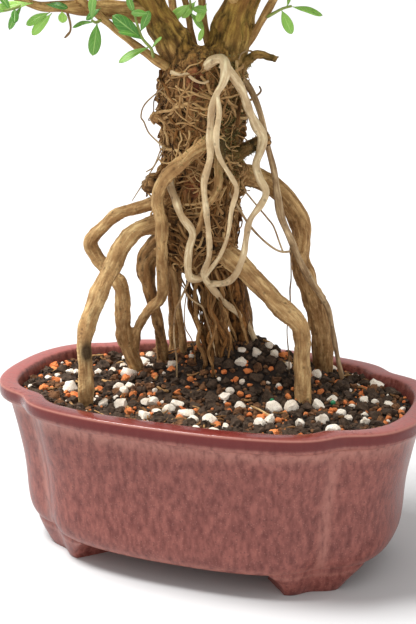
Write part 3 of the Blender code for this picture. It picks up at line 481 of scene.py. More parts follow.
LOW_SHOOTS: dict[str, tuple[tuple[Sequence[float], ...], tuple[tuple[float, Sequence[float]], ...]]] = {
    "shoot_green_left": (
        ((-20, -16, 232), (-22, -18, 236), (-25, -20, 240), (-27, -21, 246), (-28, -22, 251)),
        (
            (0.45, (-37, -25, 250)), (0.30, (-34, -26, 230)), (0.25, (-16, -20, 241)),
            (0.62, (-22, -19, 252)), (0.97, (-30, -24, 258)), (0.55, (-33, -28, 243)),
        ),
    ),
    "shoot_tip_left": (
        ((-70, -43, 254), (-73, -46, 253), (-77, -48, 252)),
        (
            (0.95, (-90, -52, 250)), (0.20, (-75, -48, 244)), (0.50, (-70, -52, 247)),
            (0.75, (-82, -44, 259)),
        ),
    ),
    "shoot_hang_left": (
        ((-43, -26, 247), (-43, -29, 247), (-43, -33, 248)),
        ((0.35, (-44, -31, 233)), (0.75, (-52, -34, 245)), (0.97, (-40, -36, 259))),
    ),
    "shoot_between_stems": (
        ((-12, 6, 250), (-12, 4, 253), (-12, 3, 257)),
        (
            (0.25, (-6, 3, 244)), (0.50, (-3, 1, 252)), (0.75, (-21, 1, 248)),
            (0.97, (-10, 0, 266)),
        ),
    ),
    "shoot_light_right": (
        ((22, 12, 249), (25, 11, 251), (29, 11, 253), (33, 11, 254)),
        ((0.97, (46, 15, 250)), (0.60, (34, 9, 242)), (0.80, (36, 6, 262))),
    ),
}

# Further leaves of those shoots. Base and tip, each a pixel and its place across the pot, then
# the width as a share of the length, and how pale the green is: partly the leaf's own green, partly painted
# backlight.
EXTRA_LEAVES: dict[str, tuple[tuple[Reading, Reading, float, float], ...]] = {
    "shoot_tip_left": (
        ((50, 12, -38), (26, 25, -42), 0.5, 0.55),
        ((52, 13, -38), (32, 35, -42), 0.5, 0.75),
        ((62, 11, -36), (63, 23, -38), 1.0, 1.0),
        ((33, 3, -42), (-8, 10, -46), 0.36, 0.95),
        ((45, 4, -40), (68, 8, -40), 0.55, 0.05),
    ),
    "shoot_between_stems": (
        ((196, 1, 6), (182, 18, 2), 0.6, 0.8),
        ((207, 3, 6), (197, 22, 0), 0.5, 0.9),
        ((204, 26, 2), (199, 41, -2), 0.45, 0.8),
    ),
    "shoot_green_left": (((150, 14, -20), (131, 13, -24), 0.6, 0.3),),
    "shoot_hang_left": (((101, 8, -30), (86, 20, -32), 0.5, 0.1),),
}

# Chips that are seen one by one in front of the roots: pixel, and half the width in millimetres.
WHITE_CHIPS: tuple[Reading, ...] = (
    (104, 405, 1.4), (121, 406, 1.9), (128, 374, 2.2), (152, 403, 1.7), (168, 411, 1.9),
    (186, 415, 2.1), (157, 412, 1.3), (145, 404, 1.2), (292, 408, 2.0), (322, 421, 1.9),
    (300, 424, 1.4), (332, 401, 1.5), (341, 413, 1.6), (376, 386, 1.8), (317, 358, 1.8),
    (266, 320, 1.5), (287, 349, 1.4), (256, 351, 1.4), (230, 391, 1.3), (226, 399, 1.5),
    (240, 407, 1.5), (268, 345, 1.3), (348, 419, 1.2), (364, 400, 1.3), (355, 378, 1.2),
    (389, 405, 1.3), (70, 372, 1.4), (76, 366, 1.1), (58, 376, 1.1), (112, 352, 1.4),
    (197, 341, 1.4), (219, 344, 1.2), (224, 346, 1.0), (242, 380, 1.0), (331, 369, 1.6),
    (365, 415, 1.0), (400, 392, 1.1), (48, 378, 1.1), (98, 352, 1.1), (150, 352, 1.1),
    (192, 355, 1.0), (278, 385, 1.0), (352, 407, 1.0), (92, 400, 1.0), (116, 398, 1.0),
)
ORANGE_CHIPS: tuple[Reading, ...] = (
    (99, 389, 1.1), (90, 373, 1.0), (150, 393, 0.9), (178, 393, 1.3), (187, 388, 0.9),
    (224, 372, 0.9), (222, 399, 0.8), (236, 378, 0.9), (280, 388, 0.8), (288, 398, 0.9),
    (305, 414, 0.8), (352, 404, 0.9), (361, 393, 0.8), (300, 386, 0.8), (341, 430, 0.8),
    (265, 415, 0.8), (141, 372, 0.8), (205, 348, 0.8), (213, 371, 0.9), (330, 414, 0.8),
    (52, 388, 0.8), (380, 411, 0.8), (196, 411, 0.8), (248, 396, 0.8), (271, 368, 0.8),
)

# Green beads of fertiliser: pixel, and half the width in millimetres.
GREEN_BEADS: tuple[Reading, ...] = ((272, 402, 1.1), (333, 405, 1.2))


# Meshes


class Draft:
    """Points, faces and point values gathered for one mesh."""

    def __init__(self, name: str) -> None:
        """Start an empty draft.

        Args:
            name: Name of the piece that it becomes.
        """
        self.name = name
        self.count = 0
        self.blocks: list[np.ndarray] = []
        self.faces: Faces = []
        self.finishes: list[int] = []
        self.marks: dict[str, list[np.ndarray]] = {}

    def add(
        self,
        points: np.ndarray,
        faces: Sequence[Sequence[int]],
        finish: int = 0,
        **marks: np.ndarray | float,
    ) -> None:
        """Add a block of points with its faces.

        Args:
            points: One row of three numbers for each point, in metres.
            faces: Faces, each a row of the block's own point numbers.
            finish: Number of the material slot that the faces take.
            **marks: A value for each point, or one for the whole block.
        """
        start = self.count
        self.blocks.append(np.asarray(points, float))
        self.count += len(points)
        self.faces.extend([start + i for i in face] for face in faces)
        self.finishes.extend([finish] * len(faces))
        for key, value in marks.items():
            filled = np.broadcast_to(np.asarray(value, float), (len(points),))
            self.marks.setdefault(key, []).append(filled)

    def mesh(self) -> Mesh:
        """Turn the draft into a mesh.

        Returns:
            The mesh, with each mark as a point attribute.
        """
        made = bpy.data.meshes.new(self.name)
        made.from_pydata(np.concatenate(self.blocks).tolist(), [], self.faces)
        made.polygons.foreach_set("material_index", self.finishes)
        for key, values in self.marks.items():
            layer = made.attributes.new(key, "FLOAT", "POINT")
            layer.data.foreach_set("value", np.concatenate(values).astype(np.float32))
        made.update()
        return made


def piece(
    mesh: Mesh,
    finishes: Sequence[Material],
    slot: Slot,
    sharp: float | None = None,
) -> Thing:
    """Link a mesh as a piece of the bonsai that rides on its body.

    Args:
        mesh: The piece's mesh, whose name the piece takes.
        finishes: The materials of its slots.
        slot: The record's slot; not used.
        sharp: Angle in degrees past which an edge stays sharp, or None for none.

    Returns:
        The new object.
    """
    made = bpy.data.objects.new(mesh.name, mesh)
    bpy.context.scene.collection.objects.link(made)
    for finish in finishes:
        mesh.materials.append(finish)
    mesh.shade_smooth()
    if sharp is not None:
        mesh.set_sharp_from_angle(angle=math.radians(sharp))
    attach(made, BODY)
    return made


def evaluated(obj: Thing) -> Mesh:
    """The object's mesh with its modifiers applied."""
    graph = bpy.context.evaluated_depsgraph_get()
    graph.update()
    return bpy.data.meshes.new_from_object(obj.evaluated_get(graph))


def rounded(rows: np.ndarray, times: int) -> np.ndarray:
    """Cut the corners of an open line of rows.

    Args:
        rows: One row for each corner of the line.
        times: How often the corners are cut.

    Returns:
        The finer rows, with the same first and last.
    """
    for _ in range(times):
        low, high = rows[:-1], rows[1:]
        cut = np.stack([0.75 * low + 0.25 * high, 0.25 * low + 0.75 * high], axis=1)
        rows = np.concatenate([rows[:1], cut.reshape(-1, rows.shape[1]), rows[-1:]])
    return rows


def grid_faces(rows: int, columns: int, closed: bool = True) -> Faces:
    """Faces between rows of points.

    Args:
        rows: Number of rows.
        columns: Number of points in a row.
        closed: Whether the last point of a row joins the first.

    Returns:
        The faces, each a row of four point numbers.
    """
    made = []
    for i in range(rows - 1):
        for j in range(columns if closed else columns - 1):
            k = (j + 1) % columns
            made.append((i * columns + j, i * columns + k, (i + 1) * columns + k, (i + 1) * columns + j))
    return made


def stem_line(route: Route, spacing: float) -> np.ndarray:
    """Read a smooth curve through a route at even distances.

    Args:
        route: Places and radii in millimetres.
        spacing: Distance between the points that are read, in millimetres.

    Returns:
        One row of place and radius for each point, in metres.
    """
    points = np.array(route, float)
    ends = np.concatenate([[2 * points[0] - points[1]], points, [2 * points[-1] - points[-2]]])
    share = np.arange(12)[:, None] / 12
    fine = []
    for i in range(len(points) - 1):
        a, b, c, d = ends[i : i + 4]
        bend = (2 * a - 5 * b + 4 * c - d) * share**2 + (3 * b - a - 3 * c + d) * share**3
        fine.append(0.5 * (2 * b + (c - a) * share + bend))
    line = np.concatenate([*fine, points[-1:]])
    reached = np.concatenate([[0], np.cumsum(np.linalg.norm(np.diff(line[:, :3], axis=0), axis=1))])
    read = np.linspace(0, reached[-1], max(3, round(reached[-1] / spacing) + 1))
    return np.stack([np.interp(read, reached, line[:, k]) for k in range(4)], axis=1) * MM


@dataclass
class Stem:
    """A stem's line with the directions that its rings are drawn in."""

    line: np.ndarray
    tone: float = 0.5
    seed: int = 0
    sides: np.ndarray = field(init=False)
    ups: np.ndarray = field(init=False)
    along: np.ndarray = field(init=False)

    def __post_init__(self) -> None:
        """Carry one side direction along the line without twisting it."""
        places = self.line[:, :3]
        heading = np.gradient(places, axis=0)
        heading /= np.linalg.norm(heading, axis=1)[:, None]
        first = np.cross(heading[0], (0.0, 1.0, 0.0))
        if np.linalg.norm(first) < 0.2:
            first = np.cross(heading[0], (1.0, 0.0, 0.0))
        side = first / np.linalg.norm(first)
        sides = []
        for direction in heading:
            side = side - direction * (side @ direction)
            side = side / np.linalg.norm(side)
            sides.append(side)
        self.sides = np.array(sides)
        self.ups = np.cross(heading, self.sides)
        steps = np.linalg.norm(np.diff(places, axis=0), axis=1)
        self.along = np.concatenate([[0], np.cumsum(steps)])

    def sweep(self, draft: Draft, count: int, depth: float, grain: float, finish: int = 0) -> None:
        """Draw the stem as a closed tube with grooves and swellings.

        Args:
            draft: The draft that takes the tube.
            count: Number of points in a ring.
            depth: Depth of the relief as a share of the radius.
            grain: Number of grooves round the stem.
            finish: Number of the material slot that the tube takes.
        """
        rng = np.random.default_rng(self.seed)
        turn = np.linspace(0, 2 * math.pi, count, endpoint=False)[None, :]
        s = self.along[:, None] / MM
        radius = self.line[:, 3:4]
        relief = np.zeros((len(s), count))
        for waves, height, pace in ((1, 0.5, 0.21), (2, 0.5, 0.13), (grain, 0.6, 0.05), (0, 0.7, 0.35)):
            for _ in range(2):
                phase, drift = rng.uniform(0, 6.28), rng.uniform(-pace, pace) * 2
                relief += height * np.sin(waves * turn + drift * s + phase)
        reach = radius * (1 + depth * relief / 1.6)
        out = self.sides[:, None] * np.cos(turn)[..., None] + self.ups[:, None] * np.sin(turn)[..., None]
        rings = self.line[:, None, :3] + out * reach[..., None]
        faces: Faces = list(grid_faces(len(s), count))
        ends = len(s) * count
        faces += [((i + 1) % count, i, ends) for i in range(count)]
        last = (len(s) - 1) * count
        faces += [(last + i, last + (i + 1) % count, ends + 1) for i in range(count)]
        tips = np.stack([self.line[0, :3], self.line[-1, :3]])
        points = np.concatenate([rings.reshape(-1, 3), tips])
        flat = {
            "grain_x": (np.cos(turn) * radius).ravel(),
            "grain_y": (np.sin(turn) * radius).ravel(),
            "grain_z": (self.along[:, None] + 0 * turn).ravel(),
        }
        marks = {key: np.concatenate([value, [0.0, 0.0]]) for key, value in flat.items()}
        draft.add(points, faces, finish, tone=self.tone, **marks)


# Shader nodes


class Board:
    """A node tree with short ways to add its nodes and wire them."""

    def __init__(self, tree: Tree) -> None:
        """Take a node tree."""
        self.tree = tree

    def add(self, kind: str, ins: dict | None = None, **settings: object) -> Node:
        """Add a node.

        Args:
            kind: Blender's name of the node type, without its ShaderNode.
            ins: Values or sockets for the node's inputs, by name or number.
            **settings: Properties of the node.

        Returns:
            The new node.
        """
        made = self.tree.nodes.new("ShaderNode" + kind)
        for key, value in settings.items():
            setattr(made, key, value)
        for key, value in (ins or {}).items():
            if isinstance(value, Socket):
                self.tree.links.new(value, made.inputs[key])
            else:
                made.inputs[key].default_value = value
        return made

    def math(self, operation: str, first: object, second: object = 0.0) -> Socket:
        """Combine two numbers."""
        return self.add("Math", {0: first, 1: second}, operation=operation, use_clamp=True).outputs[0]

    def mix(self, share: object, first: object, second: object) -> Socket:
        """Mix two colours."""
        return self.add("Mix", {"Factor": share, 6: first, 7: second}, data_type="RGBA").outputs[2]

    def join(self, start: Socket, end: Socket) -> None:
        """Wire an output to an input."""
        self.tree.links.new(start, end)

    def value(self, name: str) -> Socket:
        """Read a point value of the mesh by its name."""
        return self.add("Attribute", attribute_name=name).outputs["Fac"]

    def place(self) -> Socket:
        """The place on the object, in metres."""
        return self.add("TexCoord").outputs["Object"]

    def group(self, tree: Tree, ins: dict) -> Node:
        """Place a node group."""
        return self.add("Group", ins, node_tree=tree)


def new_group(name: str, ins: dict[str, str], outs: dict[str, str]) -> tuple[Board, dict, Node]:
    """Start a node group with named inputs and outputs.

    Args:
        name: The group's name.
        ins: Name and socket type of each input.
        outs: Name and socket type of each output.

    Returns:
        The group's board, its inputs by name, and its output node.
    """
    tree = bpy.data.node_groups.new(name, "ShaderNodeTree")
    for key, kind in ins.items():
        tree.interface.new_socket(key, in_out="INPUT", socket_type="NodeSocket" + kind)
    for key, kind in outs.items():
        tree.interface.new_socket(key, in_out="OUTPUT", socket_type="NodeSocket" + kind)
    entry = tree.nodes.new("NodeGroupInput")
    leave = tree.nodes.new("NodeGroupOutput")
    return Board(tree), {key: entry.outputs[key] for key in ins}, leave


class Effects:
    """Shader node groups that the finishes share, each built once."""

    def __init__(self) -> None:
        """Build every group."""
        self.mottle = self.build_mottle()
        self.specks = self.build_specks()
        self.relief = self.build_relief()
        self.grain = self.build_grain()

    def build_mottle(self) -> Tree:
        """Cloudy change between two colours.

        Returns:
            The group: Vector, Scale, Low and High in, Colour and Amount out.
        """
        ins = {"Vector": "Vector", "Scale": "Float", "Low": "Color", "High": "Color"}
        board, ins_of, leave = new_group("mottle", ins, {"Colour": "Color", "Amount": "Float"})
        cloud = board.add("TexNoise", {"Vector": ins_of["Vector"], "Scale": ins_of["Scale"], "Detail": 6.0})
        spread = board.add("MapRange", {"Value": cloud.outputs["Fac"], "From Min": 0.32, "From Max": 0.68})
        amount = spread.outputs["Result"]
        board.join(board.mix(amount, ins_of["Low"], ins_of["High"]), leave.inputs["Colour"])
        board.join(amount, leave.inputs["Amount"])
        return board.tree

    def build_specks(self) -> Tree:
        """Small round specks, each of its own strength.

        Returns:
            The group: Vector, Scale and Size in, Mask out.
        """
        ins = {"Vector": "Vector", "Scale": "Float", "Size": "Float"}
        board, ins_of, leave = new_group("specks", ins, {"Mask": "Float"})
        cells = board.add("TexVoronoi", {"Vector": ins_of["Vector"], "Scale": ins_of["Scale"]})
        near = board.math("SUBTRACT", ins_of["Size"], cells.outputs["Distance"])
        strength = board.add("SeparateColor", {0: cells.outputs["Color"]}).outputs[0]
        grown = board.add("Math", {0: near, 1: 6.0}, operation="MULTIPLY", use_clamp=True)
        board.join(board.math("MULTIPLY", grown.outputs[0], strength), leave.inputs["Mask"])
        return board.tree

    def build_relief(self) -> Tree:
        """Fine relief from coarse and fine noise.

        Returns:
            The group: Vector, Scale, Strength and Depth in, Normal out.
        """
        ins = {"Vector": "Vector", "Scale": "Float", "Strength": "Float", "Depth": "Float"}
        board, ins_of, leave = new_group("relief", ins, {"Normal": "Vector"})
        cloud = board.add(
            "TexNoise",
            {"Vector": ins_of["Vector"], "Scale": ins_of["Scale"], "Detail": 8.0, "Roughness": 0.62},
        )
        bump = board.add(
            "Bump",
            {"Height": cloud.outputs["Fac"], "Strength": ins_of["Strength"], "Distance": ins_of["Depth"]},
        )
        board.join(bump.outputs["Normal"], leave.inputs["Normal"])
        return board.tree

    def build_grain(self) -> Tree:
        """Grooves that run along a stem, read from the stem's own place marks.

        Returns:
            The group: X, Y, Z, Scale and Stretch in, Groove and Vector out.
        """
        ins = {"X": "Float", "Y": "Float", "Z": "Float", "Scale": "Float", "Stretch": "Float"}
        board, ins_of, leave = new_group("lengthwise_grain", ins, {"Groove": "Float", "Vector": "Vector"})
        drawn = board.add("Math", {0: ins_of["Z"], 1: ins_of["Stretch"]}, operation="MULTIPLY")
        place = board.add("CombineXYZ", {0: ins_of["X"], 1: ins_of["Y"], 2: drawn.outputs[0]})
        cloud = board.add(
            "TexNoise",
            {"Vector": place.outputs[0], "Scale": ins_of["Scale"], "Detail": 5.0, "Roughness": 0.6},
        )
        spread = board.add("MapRange", {"Value": cloud.outputs["Fac"], "From Min": 0.36, "From Max": 0.62})
        board.join(spread.outputs["Result"], leave.inputs["Groove"])
        board.join(place.outputs[0], leave.inputs["Vector"])
        return board.tree


@dataclass(frozen=True)
class Finish:
    """A material's name and the plain settings of its shader."""

    name: str
    roughness: float = 0.6
    coat: float = 0.0
    coat_roughness: float = 0.1
    specular: float = 0.5

    def start(self) -> tuple[Material, Board, Node]:
        """Make the material with its plain settings.

        Returns:
            The material, its board and its shader node.
        """
        made = bpy.data.materials.new(self.name)
        made.use_nodes = True
        board = Board(made.node_tree)
        shader = made.node_tree.nodes["Principled BSDF"]
        shader.inputs["Roughness"].default_value = self.roughness
        shader.inputs["Coat Weight"].default_value = self.coat
        shader.inputs["Coat Roughness"].default_value = self.coat_roughness
        shader.inputs["Specular IOR Level"].default_value = self.specular
        return made, board, shader

    def dress(self, board: Board, shader: Node, effects: Effects) -> None:
        """Wire the finish's colour and relief."""
        raise NotImplementedError

    def material(self, effects: Effects) -> Material:
        """Build the material.

        Args:
            effects: The shared node groups.

        Returns:
            The finished material.
        """
        made, board, shader = self.start()
        self.dress(board, shader, effects)
        return made


@dataclass(frozen=True)
class Glaze(Finish):
    """Mottled red-brown glaze: maroon and glassy on the rim, paler where it runs thinner, with painted
    highlights along the rim's edge and down the notch creases and a painted sheen on the rim's top.
    """

    low: Colour = (104, 46, 40)
    high: Colour = (150, 86, 76)
    maroon: Colour = (96, 12, 12)
    thin: Colour = (186, 128, 114)
    lip_glaze_and_sheen: Colour = (158, 84, 78)

    def dress(self, board: Board, shader: Node, effects: Effects) -> None:
        """Wire the glaze.

        Args:
            board: The material's board.
            shader: The material's shader node.
            effects: The shared node groups.
        """
        place = board.place()
        drawn = board.add("Mapping", {0: place, 3: (1.0, 1.0, 0.45)}).outputs[0]
        body = board.group(
            effects.mottle,
            {"Vector": drawn, "Scale": 420.0, "Low": linear(*self.low), "High": linear(*self.high)},
        )
        fine = board.group(effects.specks, {"Vector": place, "Scale": 900.0, "Size": 0.36})
        dark = board.group(effects.specks, {"Vector": place, "Scale": 620.0, "Size": 0.30})
        colour = board.mix(board.math("MULTIPLY", fine.outputs[0], 0.3), body.outputs[0], linear(*self.thin))
        colour = board.mix(board.math("MULTIPLY", dark.outputs[0], 0.6), colour, linear(70, 30, 28))
        # This mark pales the glaze where it runs thinner and paints highlight lines down the notch creases.
        uneven = board.math("MULTIPLY", board.value("thin"), board.math("ADD", body.outputs[1], 0.35))
        colour = board.mix(uneven, colour, linear(*self.thin))
        colour = board.mix(board.value("rim"), colour, linear(*self.maroon))
        # Painted sheen, partly thinner glaze: the rim's top in the pale lip colour, except where it faces the
        # front.
        rim_top = board.math("MULTIPLY", board.value("rim_top"), board.math("ADD", body.outputs[1], 0.45))
        colour = board.mix(rim_top, colour, linear(*self.lip_glaze_and_sheen))
        # Painted highlight line along the rim's outer top edge.
        colour = board.mix(board.value("edge"), colour, linear(*self.thin))
        board.join(colour, shader.inputs["Base Color"])
        rough = board.add("MapRange", {"Value": body.outputs[1], "To Min": 0.34, "To Max": 0.5})
        glassy = board.add("Mix", {0: board.value("rim"), 2: rough.outputs[0], 3: 0.12})
        board.join(glassy.outputs[0], shader.inputs["Roughness"])
        relief = board.group(
            effects.relief, {"Vector": place, "Scale": 420.0, "Strength": 0.28, "Depth": 0.0006}
        )
        board.join(relief.outputs[0], shader.inputs["Normal"])


@dataclass(frozen=True)
class Bark(Finish):
    """Root bark: dark grooves along the stem, cream ridges where the root is pale, and painted shade where
    the wood is marked hollow.
    """

    dark: Colour = (30, 17, 7)
    brown: Colour = (184, 124, 64)
    pale: Colour = (255, 224, 164)
    moss: Colour = (104, 96, 34)
    olive: Colour = (196, 162, 66)
    stain: Colour = (150, 78, 52)
    mossy: float = 0.35
    relief: float = 0.0012
    scale: float = 620.0
    stretch: float = 0.16

    def dress(self, board: Board, shader: Node, effects: Effects) -> None:
        """Wire the bark.

        Args:
            board: The material's board.
            shader: The material's shader node.
            effects: The shared node groups.
        """
        place = board.place()
        grain = board.group(
            effects.grain,
            {
                "X": board.value("grain_x"), "Y": board.value("grain_y"), "Z": board.value("grain_z"),
                "Scale": self.scale, "Stretch": self.stretch,
            },
        )
        tone = board.value("tone")
        ridge = board.mix(tone, linear(*self.brown), linear(*self.pale))
        ridge = board.mix(board.math("MULTIPLY", board.value("olive"), 0.75), ridge, linear(*self.olive))
        groove = board.mix(tone, linear(*self.dark), linear(*self.brown))
        smooth = board.math("MULTIPLY", tone, 0.55)
        worn = board.math("MAXIMUM", grain.outputs["Groove"], smooth)
        colour = board.mix(worn, groove, ridge)
        colour = board.mix(board.value("stain"), colour, linear(*self.stain))
        # Painted shade: the wood's pressed grooves, pits and cavities darkened.
        colour = board.mix(board.value("hollow"), colour, linear(*self.dark))
        cloud = board.group(
            effects.mottle,
            {"Vector": place, "Scale": 130.0, "Low": (0.5, 0.4, 0.34, 1), "High": (1, 1, 1, 1)},
        )
        stained = board.add("Mix", {"Factor": 0.75}, data_type="RGBA", blend_type="MULTIPLY")
        board.join(colour, stained.inputs[6])
        board.join(cloud.outputs["Colour"], stained.inputs[7])
        spots = board.group(effects.specks, {"Vector": place, "Scale": 330.0, "Size": 0.30})
        spotted = board.math("MULTIPLY", spots.outputs[0], 0.5)
        colour = board.mix(spotted, stained.outputs[2], linear(*self.dark))
        patches = board.group(
            effects.mottle, {"Vector": place, "Scale": 48.0, "Low": (0, 0, 0, 1), "High": (1, 1, 1, 1)}
        )
        shade = board.math("MULTIPLY", patches.outputs["Amount"], board.value("moss"))
        colour = board.mix(board.math("MULTIPLY", shade, self.mossy), colour, linear(*self.moss))
        board.join(colour, shader.inputs["Base Color"])
        settings = {"Vector": grain.outputs["Vector"], "Scale": self.scale * 1.4, "Detail": 8.0}
        height = board.add("TexNoise", settings)
        rough = board.add("TexNoise", {"Vector": place, "Scale": 900.0, "Detail": 5.0})
        summed = board.add("Math", {0: height.outputs["Fac"], 1: rough.outputs["Fac"]}, operation="ADD")
        bump = board.add(
            "Bump", {"Height": summed.outputs[0], "Strength": 0.8, "Distance": self.relief}
        )
        board.join(bump.outputs[0], shader.inputs["Normal"])


@dataclass(frozen=True)
class Blade(Finish):
    """Leaf: midrib and side veins paler than the blade, each leaf of its own green; the paler greens are
    partly painted backlight.
    """

    deep: Colour = (58, 122, 44)
    fresh_and_backlit: Colour = (178, 222, 112)
    vein: Colour = (196, 228, 140)

    def dress(self, board: Board, shader: Node, effects: Effects) -> None:
        """Wire the leaf.

        Args:
            board: The material's board.
            shader: The material's shader node.
            effects: The shared node groups.
        """
        along, across, tint = board.value("leaf_along"), board.value("leaf_across"), board.value("tone")
        colour = board.mix(tint, linear(*self.deep), linear(*self.fresh_and_backlit))
        cloud = board.group(
            effects.mottle,
            {"Vector": board.place(), "Scale": 380.0, "Low": (0.78, 0.84, 0.7, 1), "High": (1, 1, 1, 1)},
        )
        varied = board.add("Mix", {"Factor": 0.8}, data_type="RGBA", blend_type="MULTIPLY")
        board.join(colour, varied.inputs[6])
        board.join(cloud.outputs["Colour"], varied.inputs[7])
        beside = board.add("Math", {0: across}, operation="ABSOLUTE").outputs[0]
        ranges = {"Value": beside, "From Min": 0.02, "From Max": 0.13, "To Min": 1.0, "To Max": 0.0}
        rib = board.add("MapRange", ranges)
        slant = board.add("Math", {0: beside, 1: -0.32, 2: along}, operation="MULTIPLY_ADD").outputs[0]
        wave = board.add("Math", {0: slant, 1: 38.0}, operation="MULTIPLY").outputs[0]
        lines = board.add("Math", {0: wave}, operation="SINE").outputs[0]
        side = board.add("MapRange", {"Value": lines, "From Min": 0.82, "From Max": 1.0, "To Max": 0.4})
        veins = board.math("MAXIMUM", rib.outputs["Result"], side.outputs["Result"])
        colour = board.mix(board.math("MULTIPLY", veins, 0.6), varied.outputs[2], linear(*self.vein))
        board.join(colour, shader.inputs["Base Color"])
        relief = board.add("Bump", {"Height": veins, "Strength": 0.5, "Distance": 0.0003})
        board.join(relief.outputs[0], shader.inputs["Normal"])
        shader.inputs["Subsurface Weight"].default_value = 0.25
        shader.inputs["Subsurface Scale"].default_value = 0.0015
        shader.inputs["Subsurface Radius"].default_value = (0.6, 1.0, 0.2)


@dataclass(frozen=True)
class Grain(Finish):
    """Chips, soil, moss and plastic: two colours in clouds, with pores."""

    low: Colour = (30, 26, 22)
    high: Colour = (60, 52, 44)
    pore: Colour = (15, 12, 10)
    cloud: float = 260.0
    pores: float = 1400.0
    pore_share: float = 0.6
    bump: float = 0.0007

    def dress(self, board: Board, shader: Node, effects: Effects) -> None:
        """Wire the chips' colour and pores.

        Args:
            board: The material's board.
            shader: The material's shader node.
            effects: The shared node groups.
        """
        place = board.place()
        body = board.group(
            effects.mottle,
            {"Vector": place, "Scale": self.cloud, "Low": linear(*self.low), "High": linear(*self.high)},
        )
        tone = board.value("tone")
        lifted = board.mix(board.math("MULTIPLY", tone, 0.5), body.outputs["Colour"], linear(*self.high))
        holes = board.group(effects.specks, {"Vector": place, "Scale": self.pores, "Size": 0.38})
        pitted = board.math("MULTIPLY", holes.outputs[0], self.pore_share)
        colour = board.mix(pitted, lifted, linear(*self.pore))
        board.join(colour, shader.inputs["Base Color"])
        relief = board.group(
            effects.relief, {"Vector": place, "Scale": 800.0, "Strength": 0.7, "Depth": self.bump}
        )
        board.join(relief.outputs[0], shader.inputs["Normal"])


# The pot


